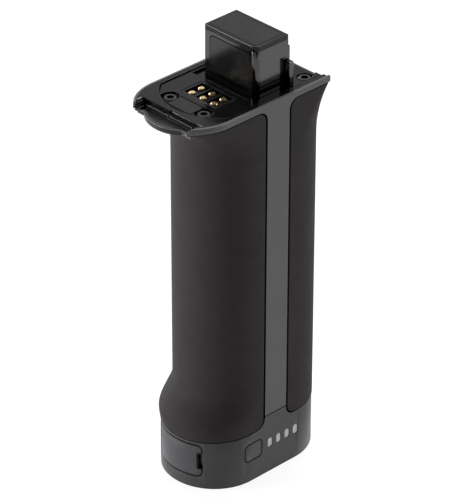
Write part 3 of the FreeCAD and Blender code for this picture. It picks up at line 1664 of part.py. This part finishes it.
def make_cells():
    """Four pouch cells side by side, with foam between them."""
    pitch = s.cell_thickness + s.foam_thickness
    half_y = s.cell_width / 2
    for number in range(CELL_COUNT):
        left = number * pitch - stack_half
        body = new_body(f"battery_cell_{number + 1}")
        points = rounded_rectangle(left, left + s.cell_thickness, s.cell_middle_y - half_y,
                                   s.cell_middle_y + half_y, s.cell_round)
        pad_path(body, f"cell_form_{number + 1}", points, cells_bottom, cells_top)
        finish(body, f"battery_cell_{number + 1}")
    foam_y = half_y - s.cell_round
    for number in range(CELL_COUNT - 1):
        left = number * pitch - stack_half + s.cell_thickness
        foam = box(f"foam_pad_{number + 1}", left, left + s.foam_thickness, s.cell_middle_y - foam_y,
                   s.cell_middle_y + foam_y, cells_bottom, cells_top - s.cell_round * 2)
        finish(foam, f"foam_pad_{number + 1}")


def make_tabs():
    """Nickel tabs from the cells up to the protection board."""
    pitch = s.cell_thickness + s.foam_thickness
    for side, label in ((-1, "negative_tabs"), (1, "positive_tabs")):
        middle_y = s.cell_middle_y + side * s.tab_place
        tabs = []
        for number in range(CELL_COUNT):
            middle_x = number * pitch - stack_half + s.cell_thickness / 2
            x0, x1 = middle_x - s.tab_thickness / 2, middle_x + s.tab_thickness / 2
            y0, y1 = middle_y - s.tab_width / 2, middle_y + s.tab_width / 2
            tabs.append(box(f"{label}_{number + 1}", x0, x1, y0, y1, cells_top, board_bottom))
        finish(group(label, *tabs), label)


def make_protection_board():
    """Board on top of the cell frame."""
    body = new_body("protection_board")
    half = cavity_half - s.frame_gap
    points = stadium(half, s.waist_low_centre, s.rear_centre)
    pad_path(body, "board", points, board_bottom, board_bottom + s.board_thickness)
    finish(body, "protection_board")


def make_leads():
    """Stiff leads between the boards, two down to the base and two up to the contacts."""
    board_top = board_bottom + s.board_thickness
    for side, label in ((-1, "charge_lead_negative"), (1, "charge_lead_positive")):
        y = s.cell_middle_y + side * s.lead_spacing
        finish(cylinder(label, s.lead_radius, -lead_side, y, charge_board_top, board_bottom), label)
    for side, label in ((-1, "contact_lead_negative"), (1, "contact_lead_positive")):
        x = side * s.lead_spacing
        middle = -(s.window_front + s.window_rear) / 2
        finish(cylinder(label, s.lead_radius, x, middle, board_top, contact_board_bottom), label)


make_base_housing()
make_base_seal()
make_foot_plate()
make_foot_screws()
make_frame_screws()
make_tripod_bush()
make_charge_board()
make_charge_socket()
make_socket_cover()
make_cover_pin()
make_power_button()
make_power_switch()
make_light_guide()
make_level_lights()
make_cell_frame()
make_cells()
make_tabs()
make_protection_board()
make_leads()


def check_and_export():
    """Stop if anything failed, then write each sub-part to its own file."""
    document.recompute()
    faults = []
    for thing in document.Objects:
        if "Invalid" in thing.State or "Error" in thing.State:
            faults.append(f"{thing.Name} is in state {thing.State}")
    for thing in finished:
        if thing.Shape.isNull() or not thing.Shape.isValid():
            faults.append(f"{thing.Label} has no valid shape")
    if faults:
        raise RuntimeError("; ".join(faults))
    os.makedirs("parts", exist_ok=True)
    for thing in finished:
        thing.Shape.exportStep(f"parts/{thing.Label}.step")
    for thing in finished:
        edges = thing.Shape.BoundBox
        reach = (edges.XMin, edges.XMax, edges.YMin, edges.YMax, edges.ZMin, edges.ZMax)
        print(thing.Label, len(thing.Shape.Solids), [round(value, 2) for value in reach])


check_and_export()
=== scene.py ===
import json
import math

import bpy
from mathutils import Matrix, Vector

# Looks of the battery grip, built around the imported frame. Lengths are in metres.

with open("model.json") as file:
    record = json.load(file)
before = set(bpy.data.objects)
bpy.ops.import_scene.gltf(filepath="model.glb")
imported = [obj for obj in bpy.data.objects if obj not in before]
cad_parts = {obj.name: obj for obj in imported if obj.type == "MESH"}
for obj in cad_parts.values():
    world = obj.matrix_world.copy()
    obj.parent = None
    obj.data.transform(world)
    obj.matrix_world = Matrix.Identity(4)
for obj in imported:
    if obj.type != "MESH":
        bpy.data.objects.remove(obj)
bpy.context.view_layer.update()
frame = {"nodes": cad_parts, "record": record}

MM = 0.001


# Directions

QUARTER_TURN = 90


def direction_of(azimuth, elevation):
    """Unit vector towards a compass place in degrees. Azimuth 0 is the front and 90 is plus X."""
    around = math.radians(azimuth)
    above = math.radians(elevation)
    return Vector((
        math.sin(around) * math.cos(above),
        -math.cos(around) * math.cos(above),
        math.sin(above),
    ))


# Camera

# The photograph's view: angles in degrees, and the camera's place
CAMERA_AZIMUTH = 45.776
CAMERA_ELEVATION = 30.991
CAMERA_ROLL = 0.277
CAMERA_PLACE = Vector((0.90775, -0.88228, 0.85604))

# Focal length and longer side of the photograph, both in its pixels
FOCAL_PIXELS = 3686
LONG_SIDE = 500

# Sensor width in millimetres
SENSOR = 36

# Nearest and farthest distance that is drawn
NEAREST = 0.01
FARTHEST = 50


def make_camera():
    """The camera that took the photograph."""
    roll = math.radians(CAMERA_ROLL)
    back = direction_of(CAMERA_AZIMUTH, CAMERA_ELEVATION)
    level = direction_of(CAMERA_AZIMUTH + QUARTER_TURN, 0)
    upright = back.cross(level)
    right = level * math.cos(roll) + upright * math.sin(roll)
    up = upright * math.cos(roll) - level * math.sin(roll)
    data = bpy.data.cameras.new("camera")
    data.sensor_width = SENSOR
    data.lens = FOCAL_PIXELS * SENSOR / LONG_SIDE
    data.clip_start = NEAREST
    data.clip_end = FARTHEST
    camera = bpy.data.objects.new("camera", data)
    bpy.context.scene.collection.objects.link(camera)
    turn = Matrix((right, up, back)).transposed()
    camera.matrix_world = Matrix.Translation(CAMERA_PLACE) @ turn.to_4x4()
    bpy.context.scene.camera = camera


make_camera()


# Shader nodes

# Middle part of a noise, where most of its values lie
NOISE_LOW = 0.3
NOISE_HIGH = 0.7

# Places of the colour sockets on a Mix node, whose names repeat
MIX_FIRST = 6
MIX_SECOND = 7
MIX_RESULT = 2


def grey(level):
    """A colour without a tint."""
    return (level, level, level)


def feed(links, source, socket):
    """Give a socket its value, from another socket or as a plain value."""
    if isinstance(source, bpy.types.NodeSocket):
        links.new(source, socket)
    else:
        socket.default_value = source


def combined(nodes, links, operation, first, second):
    """Sum, product or the like of two numbers."""
    node = nodes.new("ShaderNodeMath")
    node.operation = operation
    feed(links, first, node.inputs[0])
    feed(links, second, node.inputs[1])
    return node.outputs["Value"]


def facing(nodes, links, first, second):
    """How much two directions agree: 1 when they are the same and 0 at a right angle."""
    node = nodes.new("ShaderNodeVectorMath")
    node.operation = "DOT_PRODUCT"
    feed(links, first, node.inputs[0])
    feed(links, second, node.inputs[1])
    return node.outputs["Value"]


def spread(nodes, links, value, low, high, start=NOISE_LOW, end=NOISE_HIGH):
    """Numbers from low to high as a value goes from start to end."""
    node = nodes.new("ShaderNodeMapRange")
    node.inputs["From Min"].default_value = start
    node.inputs["From Max"].default_value = end
    feed(links, low, node.inputs["To Min"])
    feed(links, high, node.inputs["To Max"])
    links.new(value, node.inputs["Value"])
    return node.outputs["Result"]


def ramp(nodes, links, value, low, high, start=NOISE_LOW, end=NOISE_HIGH):
    """Colours from low to high as a value goes from start to end."""
    blend = nodes.new("ShaderNodeValToRGB")
    first, last = blend.color_ramp.elements
    first.position = start
    first.color = (*low, 1)
    last.position = end
    last.color = (*high, 1)
    links.new(value, blend.inputs["Fac"])
    return blend.outputs["Color"]


def mixed(nodes, links, share, first, second, blend="MIX"):
    """Two colours mixed by a share, or multiplied."""
    node = nodes.new("ShaderNodeMix")
    node.data_type = "RGBA"
    node.blend_type = blend
    feed(links, share, node.inputs["Factor"])
    feed(links, first, node.inputs[MIX_FIRST])
    feed(links, second, node.inputs[MIX_SECOND])
    return node.outputs[MIX_RESULT]


def times(nodes, links, first, second):
    """Product of two colours."""
    return mixed(nodes, links, 1, first, second, "MULTIPLY")


# Light

# The lamps stand around the middle of the handle and look at it
HANDLE_MIDDLE = Vector((0, 0, 0.1))
PANEL_DISTANCE = 1.0

# The world is bright towards one azimuth and dim away from it, and fades by how far directions agree
BRIGHT_SIDE = 240
BRIGHT_LEVEL = 0.4
DIM_SIDE = 0.02
FADE_START = -0.1
FADE_END = 0.6

# Half the floor's width, its paint, and the share and strength of its glow
FLOOR_HALF = 3
FLOOR_PALENESS = 0.88
FLOOR_GLOW_SHARE = 0.82
FLOOR_GLOW = 1.08

WHITE = (1, 1, 1, 1)


def make_panel(name, azimuth, elevation, width, height, power):
    """A soft light panel that looks at the middle of the handle."""
    data = bpy.data.lights.new(name, "AREA")
    data.shape = "RECTANGLE"
    data.size = width
    data.size_y = height
    data.energy = power
    panel = bpy.data.objects.new(name, data)
    bpy.context.scene.collection.objects.link(panel)
    towards = direction_of(azimuth, elevation)
    panel.location = HANDLE_MIDDLE + towards * PANEL_DISTANCE
    panel.rotation_mode = "QUATERNION"
    panel.rotation_quaternion = towards.to_track_quat("Z", "Y")
    panel.visible_camera = False


def mirrored(nodes, links, path):
    """1 for a ray that a glossy or clear surface sends on, and 0 for any other."""
    return combined(nodes, links, "ADD", path.outputs["Is Glossy Ray"], path.outputs["Is Transmission Ray"])


def make_world():
    """White to the camera. Gloss sees it white on the bright side, and it lights the object less."""
    world = bpy.data.worlds.new("studio")
    world.use_nodes = True
    bpy.context.scene.world = world
    nodes, links = world.node_tree.nodes, world.node_tree.links
    nodes.clear()
    path = nodes.new("ShaderNodeLightPath")
    looking = nodes.new("ShaderNodeTexCoord").outputs["Generated"]
    agreement = facing(nodes, links, looking, direction_of(BRIGHT_SIDE, 0))
    brightest = spread(nodes, links, mirrored(nodes, links, path), BRIGHT_LEVEL, 1, 0, 1)
    strength = spread(nodes, links, agreement, DIM_SIDE, brightest, FADE_START, FADE_END)
    soft = nodes.new("ShaderNodeBackground")
    links.new(strength, soft.inputs["Strength"])
    white = nodes.new("ShaderNodeBackground")
    white.inputs["Color"].default_value = WHITE
    mix = nodes.new("ShaderNodeMixShader")
    links.new(path.outputs["Is Camera Ray"], mix.inputs["Fac"])
    links.new(soft.outputs["Background"], mix.inputs[1])
    links.new(white.outputs["Background"], mix.inputs[2])
    output = nodes.new("ShaderNodeOutputWorld")
    links.new(mix.outputs["Shader"], output.inputs["Surface"])


def floor_material():
    """Pale paint that keeps the shadow, under a glow that makes it white to the camera and in gloss."""
    material = bpy.data.materials.new("pale_floor")
    material.use_nodes = True
    nodes, links = material.node_tree.nodes, material.node_tree.links
    nodes.clear()
    paint = nodes.new("ShaderNodeBsdfDiffuse")
    paint.inputs["Color"].default_value = (*grey(FLOOR_PALENESS), 1)
    glow = nodes.new("ShaderNodeEmission")
    glow.inputs["Color"].default_value = WHITE
    glow.inputs["Strength"].default_value = FLOOR_GLOW
    path = nodes.new("ShaderNodeLightPath")
    seen = combined(nodes, links, "ADD", path.outputs["Is Camera Ray"], mirrored(nodes, links, path))
    mix = nodes.new("ShaderNodeMixShader")
    links.new(combined(nodes, links, "MULTIPLY", seen, FLOOR_GLOW_SHARE), mix.inputs["Fac"])
    links.new(paint.outputs["BSDF"], mix.inputs[1])
    links.new(glow.outputs["Emission"], mix.inputs[2])
    output = nodes.new("ShaderNodeOutputMaterial")
    links.new(mix.outputs["Shader"], output.inputs["Surface"])
    return material


def make_floor():
    """Plain square floor under the base."""
    corners = [
        (-FLOOR_HALF, -FLOOR_HALF, 0),
        (FLOOR_HALF, -FLOOR_HALF, 0),
        (FLOOR_HALF, FLOOR_HALF, 0),
        (-FLOOR_HALF, FLOOR_HALF, 0),
    ]
    mesh = bpy.data.meshes.new("floor")
    mesh.from_pydata(corners, [], [(0, 1, 2, 3)])
    mesh.materials.append(floor_material())
    floor = bpy.data.objects.new("floor", mesh)
    bpy.context.scene.collection.objects.link(floor)


bpy.context.scene.view_settings.view_transform = "Standard"
make_world()
make_floor()
make_panel("left_panel", azimuth=-38, elevation=10, width=0.35, height=0.35, power=15)
make_panel("back_panel", azimuth=208, elevation=68, width=0.5, height=0.5, power=10)
make_panel("side_panel", azimuth=-98, elevation=14, width=0.2, height=0.4, power=5)
make_panel("right_panel", azimuth=128, elevation=18, width=1.0, height=0.8, power=7.5)


# Patterns and masks

# Agreement of a rounded and a plain face direction: on an edge, and beside it. The first places the lighter
# edge tone, the second the painted shade round a rim
WEAR_AND_HIGHLIGHT_EDGE = (0.85, 0.995)
RIM_EDGE = (0.95, 0.998)
EDGE_SAMPLES = 6

# Openness of a place: in a seam, and on a free face; painted shade darkens the seam by it
SEAM_OPENNESS = (0.35, 0.85)
SEAM_SAMPLES = 8

# Softness of the leather cells
CELL_SMOOTHNESS = 0.6


def coordinates(nodes):
    """The object's own coordinates, so that a pattern moves with its piece."""
    return nodes.new("ShaderNodeTexCoord").outputs["Object"]


def noise(nodes, links, size, detail, roughness=0.5):
    """Soft noise whose blotches are about one size across."""
    texture = nodes.new("ShaderNodeTexNoise")
    texture.inputs["Scale"].default_value = 1 / size
    texture.inputs["Detail"].default_value = detail
    texture.inputs["Roughness"].default_value = roughness
    links.new(coordinates(nodes), texture.inputs["Vector"])
    return texture.outputs["Fac"]


def cells(nodes, links, size):
    """Rounded cells of about one size, like fine leather grain."""
    texture = nodes.new("ShaderNodeTexVoronoi")
    texture.feature = "SMOOTH_F1"
    texture.inputs["Scale"].default_value = 1 / size
    texture.inputs["Smoothness"].default_value = CELL_SMOOTHNESS
    links.new(coordinates(nodes), texture.inputs["Vector"])
    return texture.outputs["Distance"]


def bump(nodes, links, height, depth, strength=1.0, under=None):
    """Relief of a depth, over another relief if there is one."""
    node = nodes.new("ShaderNodeBump")
    node.inputs["Distance"].default_value = depth
    node.inputs["Strength"].default_value = strength
    links.new(height, node.inputs["Height"])
    if under is not None:
        links.new(under, node.inputs["Normal"])
    return node.outputs["Normal"]


def edge_mask(nodes, links, radius, agreement):
    """How near a place is to an edge: 1 on it and 0 away from it."""
    rounded = nodes.new("ShaderNodeBevel")
    rounded.samples = EDGE_SAMPLES
    rounded.inputs["Radius"].default_value = radius
    plain = nodes.new("ShaderNodeNewGeometry")
    both = facing(nodes, links, rounded.outputs["Normal"], plain.outputs["Normal"])
    return spread(nodes, links, both, 1, 0, *agreement)


def openness(nodes, links, reach):
    """How open a place is: 1 on free faces and 0 deep in a seam."""
    shade = nodes.new("ShaderNodeAmbientOcclusion")
    shade.samples = SEAM_SAMPLES
    shade.inputs["Distance"].default_value = reach
    return spread(nodes, links, shade.outputs["AO"], 0, 1, *SEAM_OPENNESS)


# Kinds of surface

# How far a roughness strays below and above its middle
PLASTIC_STRAY = (0.05, 0.06)
METAL_STRAY = (0.06, 0.08)

# Blotches of moulded and painted surfaces: in the colour, in the rubbed edges and painted edge highlights,
# and in the gloss
CLOUD = 18 * MM
SCUFF_AND_HIGHLIGHT = 4 * MM
SMUDGE = 9 * MM

# Grain of a fine surface and its depth
FINE_GRAIN = 0.14 * MM
FINE_RELIEF = 0.002 * MM

# How dark the painted shade is at the bottom of a seam
SEAM_PAINTED_SHADE = 0.001

# Blotches and grain of rubber
RUBBER_CLOUD = 25 * MM
RUBBER_DUST = 6 * MM
LEATHER_CELL = 0.45 * MM
LEATHER_RELIEF = 0.03 * MM
RUBBER_GRAIN = 0.12 * MM
RUBBER_RELIEF = 0.01 * MM
RUBBER_STRENGTH = 0.6
RUBBER_ROUGHNESS = (0.7, 0.82)
RUBBER_GLOSS = 0.14

# Blotches and marks of metal
METAL_STAIN = 1.2 * MM
METAL_SMUDGE = 0.5 * MM
METAL_RELIEF = 0.0012 * MM


def new_material(name):
    """A material with its main shader. Returns both, with the nodes and links."""
    material = bpy.data.materials.new(name)
    material.use_nodes = True
    nodes, links = material.node_tree.nodes, material.node_tree.links
    shader = nodes["Principled BSDF"]
    return material, nodes, links, shader


def uneven(nodes, links, value, roughness, stray):
    """Roughness that strays below and above its middle as a value varies."""
    below, above = stray
    return spread(nodes, links, value, roughness - below, roughness + above)


def plastic(name, dark, light, wear_and_highlight, roughness, grain, relief, gloss=0.5,
            edge=0.25 * MM, wear_and_highlight_range=(0.15, 0.5), seam=1.5 * MM):
    """Moulded or painted surface: cloudy colour, fine grain, a lighter edge tone (rubbed edges, and on some
    pieces a painted highlight) and painted shade in seams.

    A black metal sends nothing back, so the painted shade makes a deep seam metallic and black."""
    material, nodes, links, shader = new_material(name)
    shader.inputs["Specular IOR Level"].default_value = gloss

    cloud = noise(nodes, links, CLOUD, detail=4)
    base = ramp(nodes, links, cloud, dark, light)
    scuffs_and_highlights = noise(nodes, links, SCUFF_AND_HIGHLIGHT, detail=5)
    # Lighter edge tone: rubbed edges, and on some pieces a painted highlight along the edges
    on_edge = edge_mask(nodes, links, edge, WEAR_AND_HIGHLIGHT_EDGE)
    wear_and_highlight_share = combined(nodes, links, "MULTIPLY", on_edge, spread(nodes, links, scuffs_and_highlights, *wear_and_highlight_range))
    colour = mixed(nodes, links, wear_and_highlight_share, base, (*wear_and_highlight, 1))

    # Painted shade: colour and reflection fade to black deep in seams and gaps
    free = openness(nodes, links, seam)
    shade = ramp(nodes, links, free, grey(SEAM_PAINTED_SHADE), grey(1), 0, 1)
    links.new(times(nodes, links, colour, shade), shader.inputs["Base Color"])
    links.new(spread(nodes, links, free, 1, 0, 0, 1), shader.inputs["Metallic"])

    smudge = noise(nodes, links, SMUDGE, detail=5)
    links.new(uneven(nodes, links, smudge, roughness, PLASTIC_STRAY), shader.inputs["Roughness"])
    fine = bump(nodes, links, noise(nodes, links, grain, detail=2), relief)
    links.new(fine, shader.inputs["Normal"])
    return material


def rimmed(name, dark, light, roughness, rim, gloss=0.5):
    """Moulded surface with a painted shade line all round it, where its edge turns down into a gap."""
    material = plastic(name, dark, light, dark, roughness, FINE_GRAIN, FINE_RELIEF, gloss)
    nodes, links = material.node_tree.nodes, material.node_tree.links
    shader = nodes["Principled BSDF"]
    colour, metallic = shader.inputs["Base Color"], shader.inputs["Metallic"]
    # Painted shade round the rim: darker colour and black metal, so the edge sends nothing back
    on_rim = edge_mask(nodes, links, rim, RIM_EDGE)
    inside = spread(nodes, links, on_rim, 1, 0, 0, 1)
    links.new(times(nodes, links, colour.links[0].from_socket, inside), colour)
    links.new(combined(nodes, links, "ADD", metallic.links[0].from_socket, on_rim), metallic)
    return material


def rubber(name, dark, light):
    """Matt rubber with a fine leathery grain."""
    material, nodes, links, shader = new_material(name)
    shader.inputs["Specular IOR Level"].default_value = RUBBER_GLOSS
    cloud = noise(nodes, links, RUBBER_CLOUD, detail=5)
    links.new(ramp(nodes, links, cloud, dark, light), shader.inputs["Base Color"])
    dust = noise(nodes, links, RUBBER_DUST, detail=6, roughness=0.6)
    links.new(spread(nodes, links, dust, *RUBBER_ROUGHNESS), shader.inputs["Roughness"])
    leather = bump(nodes, links, cells(nodes, links, LEATHER_CELL), LEATHER_RELIEF, RUBBER_STRENGTH)
    grain = noise(nodes, links, RUBBER_GRAIN, detail=2)
    fine = bump(nodes, links, grain, RUBBER_RELIEF, RUBBER_STRENGTH, leather)
    links.new(fine, shader.inputs["Normal"])
    return material


def metal(name, dark, light, roughness, grain):
    """Bare or plated metal with fine stains and marks."""
    material, nodes, links, shader = new_material(name)
    shader.inputs["Metallic"].default_value = 1
    stain = noise(nodes, links, METAL_STAIN, detail=4)
    links.new(ramp(nodes, links, stain, dark, light), shader.inputs["Base Color"])
    smudge = noise(nodes, links, METAL_SMUDGE, detail=4)
    links.new(uneven(nodes, links, smudge, roughness, METAL_STRAY), shader.inputs["Roughness"])
    marks = bump(nodes, links, noise(nodes, links, grain, detail=2), METAL_RELIEF)
    links.new(marks, shader.inputs["Normal"])
    return material


# Materials of the record's slots

materials = {
    # Its lighter edges are a painted highlight along all the shell's edges
    "shell_grey": plastic(
        "shell_grey", dark=(0.036, 0.036, 0.038), light=(0.042, 0.042, 0.044), wear_and_highlight=(0.15, 0.15, 0.155),
        roughness=0.38, grain=FINE_GRAIN, relief=0.006 * MM, gloss=0.45, edge=0.35 * MM, wear_and_highlight_range=(0.2, 0.8),
    ),
    "base_grey": plastic(
        "base_grey", dark=(0.031, 0.0293, 0.0282), light=(0.0365, 0.0346, 0.0334), wear_and_highlight=(0.085, 0.083, 0.08),
        roughness=0.36, grain=FINE_GRAIN, relief=0.006 * MM, gloss=0.3,
    ),
    "grip_rubber": rubber("grip_rubber", dark=(0.0185, 0.016, 0.017), light=(0.0215, 0.0186, 0.0198)),
    # Its lighter edges are partly rubbed and partly a painted highlight
    "deck_black": plastic(
        "deck_black", dark=(0.001, 0.001, 0.0011), light=(0.0018, 0.0017, 0.0018), wear_and_highlight=(0.1, 0.097, 0.1),
        roughness=0.16, grain=0.2 * MM, relief=0.0015 * MM, gloss=0.21, edge=0.3 * MM, wear_and_highlight_range=(0.2, 0.9),
        seam=0.5 * MM,
    ),
    "block_grey": plastic(
        "block_grey", dark=grey(0.0006), light=grey(0.001), wear_and_highlight=(0.07, 0.07, 0.075),
        roughness=0.13, grain=0.3 * MM, relief=0.0006 * MM, gloss=0.8,
    ),
    "label_dark": plastic(
        "label_dark", dark=(0.005, 0.0045, 0.0045), light=(0.007, 0.0065, 0.0065), wear_and_highlight=grey(0.05),
        roughness=0.26, grain=0.2 * MM, relief=0.001 * MM, gloss=0.2,
    ),
    "contact_gold": metal(
        "contact_gold", dark=(0.8, 0.56, 0.28), light=(0.95, 0.74, 0.44), roughness=0.2, grain=0.3 * MM,
    ),
    "screw_black": metal(
        "screw_black", dark=(0.025, 0.024, 0.024), light=(0.06, 0.058, 0.058), roughness=0.34, grain=0.1 * MM,
    ),
    "foot_black": plastic(
        "foot_black", dark=grey(0.012), light=grey(0.016), wear_and_highlight=grey(0.04),
        roughness=0.5, grain=0.3 * MM, relief=0.02 * MM,
    ),
    "seal_rubber": rubber("seal_rubber", dark=grey(0.006), light=grey(0.009)),
    "brass_bush": metal(
        "brass_bush", dark=(0.5, 0.36, 0.14), light=(0.62, 0.46, 0.2), roughness=0.3, grain=0.1 * MM,
    ),
    "steel_small": metal(
        "steel_small", dark=(0.45, 0.45, 0.46), light=(0.6, 0.6, 0.61), roughness=0.28, grain=0.1 * MM,
    ),
    # The window's dark outline is painted shade
    "light_window": rimmed("light_window", dark=grey(0.36), light=grey(0.42), roughness=0.3, rim=0.8 * MM),
    "light_chip": plastic(
        "light_chip", dark=(0.7, 0.66, 0.4), light=(0.8, 0.76, 0.5), wear_and_highlight=(0.8, 0.8, 0.7),
        roughness=0.4, grain=0.3 * MM, relief=0.002 * MM,
    ),
    "board_green": plastic(
        "board_green", dark=(0.01, 0.06, 0.02), light=(0.015, 0.08, 0.03), wear_and_highlight=(0.2, 0.25, 0.1),
        roughness=0.35, grain=0.3 * MM, relief=0.002 * MM,
    ),
    "inner_black": plastic(
        "inner_black", dark=grey(0.01), light=grey(0.014), wear_and_highlight=grey(0.03),
        roughness=0.5, grain=0.3 * MM, relief=0.01 * MM,
    ),
    "cell_pouch": metal(
        "cell_pouch", dark=(0.5, 0.5, 0.52), light=(0.6, 0.6, 0.62), roughness=0.4, grain=0.4 * MM,
    ),
    "foam_grey": rubber("foam_grey", dark=grey(0.07), light=grey(0.09)),
    "nickel_tab": metal(
        "nickel_tab", dark=(0.5, 0.48, 0.45), light=(0.6, 0.58, 0.55), roughness=0.3, grain=0.2 * MM,
    ),
    "lead_black": rubber("lead_black", dark=grey(0.006), light=grey(0.01)),
    "lead_red": rubber("lead_red", dark=(0.35, 0.01, 0.01), light=(0.42, 0.015, 0.015)),
}


# Pieces that look a little different from the rest of their slot

# The rimmed pieces here have a painted shade line round their edges
own_materials = {
    "power_button": rimmed(
        "button_grey", dark=(0.04, 0.0385, 0.039), light=(0.047, 0.0455, 0.046),
        roughness=0.38, rim=1.4 * MM, gloss=0.3,
    ),
    "socket_cover": rimmed(
        "cover_grey", dark=(0.03, 0.03, 0.0345), light=(0.037, 0.037, 0.042),
        roughness=0.4, rim=1.4 * MM, gloss=0.4,
    ),
    "deck_insert": rimmed(
        "insert_black", dark=(0.001, 0.001, 0.0011), light=(0.0018, 0.0017, 0.0018),
        roughness=0.16, rim=1.1 * MM, gloss=0.2,
    ),
    # Its wide, light edges are a painted highlight
    "nose_catch": plastic(
        "nose_black", dark=(0.006, 0.0056, 0.006), light=(0.009, 0.0085, 0.009), wear_and_highlight=(0.24, 0.235, 0.24),
        roughness=0.24, grain=0.2 * MM, relief=0.0015 * MM, gloss=0.3, edge=0.45 * MM, wear_and_highlight_range=(0.4, 1),
        seam=0.4 * MM,
    ),
    "block_cap": plastic(
        "cap_black", dark=(0.001, 0.0009, 0.0009), light=(0.0018, 0.0016, 0.0016), wear_and_highlight=(0.06, 0.06, 0.062),
        roughness=0.2, grain=0.3 * MM, relief=0.001 * MM, gloss=0.22,
    ),
    "block_panel": rimmed(
        "panel_black", dark=grey(0.0005), light=grey(0.0008), roughness=0.22, rim=0.3 * MM, gloss=0.45,
    ),
    "front_pad": rimmed(
        "pad_black", dark=(0.003, 0.0028, 0.0028), light=(0.0045, 0.0042, 0.0042),
        roughness=0.26, rim=1.0 * MM, gloss=0.2,
    ),
}


def dress_nodes():
    """Give every CAD node its own material or that of its slot."""
    for part in frame["record"]["subparts"]:
        node = frame["nodes"][part["node"]]
        material = own_materials.get(part["node"], materials[part["material_slot"]])
        node.data.materials.clear()
        node.data.materials.append(material)
        for polygon in node.data.polygons:
            polygon.material_index = 0


dress_nodes()


# Softer edges on the visible CAD nodes

# Width of each piece's rounding, in millimetres
ROUNDINGS = {
    "chassis": 0.3,
    "base_housing": 0.25,
    "front_grip": 0.5,
    "rear_grip": 0.5,
    "top_plate": 0.25,
    "nose_catch": 0.4,
    "deck_insert": 0.2,
    "front_pad": 0.15,
    "contact_carrier": 0.12,
    "guide_block": 0.18,
    "block_cap": 0.16,
    "guide_post_right": 0.15,
    "guide_post_left": 0.15,
    "socket_cover": 0.25,
    "power_button": 0.3,
    "light_guide": 0.15,
}

# Pieces with few short edges, whose rounding needs no limit
PLAIN_PIECES = ("top_plate", "deck_insert", "front_pad", "block_cap")

# Points nearer to each other than this are one point
WELD_REACH = 0.0005 * MM

# Edges that turn by more than this many degrees are rounded
SHARP_TURN = 40
ROUNDING_STEPS = 2


def soften(node, width, limited):
    """Join the node's split edges and round them a little, without touching its mesh."""
    weld = node.modifiers.new("weld", "WELD")
    weld.merge_threshold = WELD_REACH
    bevel = node.modifiers.new("soft_edge", "BEVEL")
    bevel.width = width * MM
    bevel.segments = ROUNDING_STEPS
    bevel.limit_method = "ANGLE"
    bevel.use_clamp_overlap = limited
    bevel.angle_limit = math.radians(SHARP_TURN)
    bevel.harden_normals = True


for name, width in ROUNDINGS.items():
    soften(frame["nodes"][name], width, name not in PLAIN_PIECES)
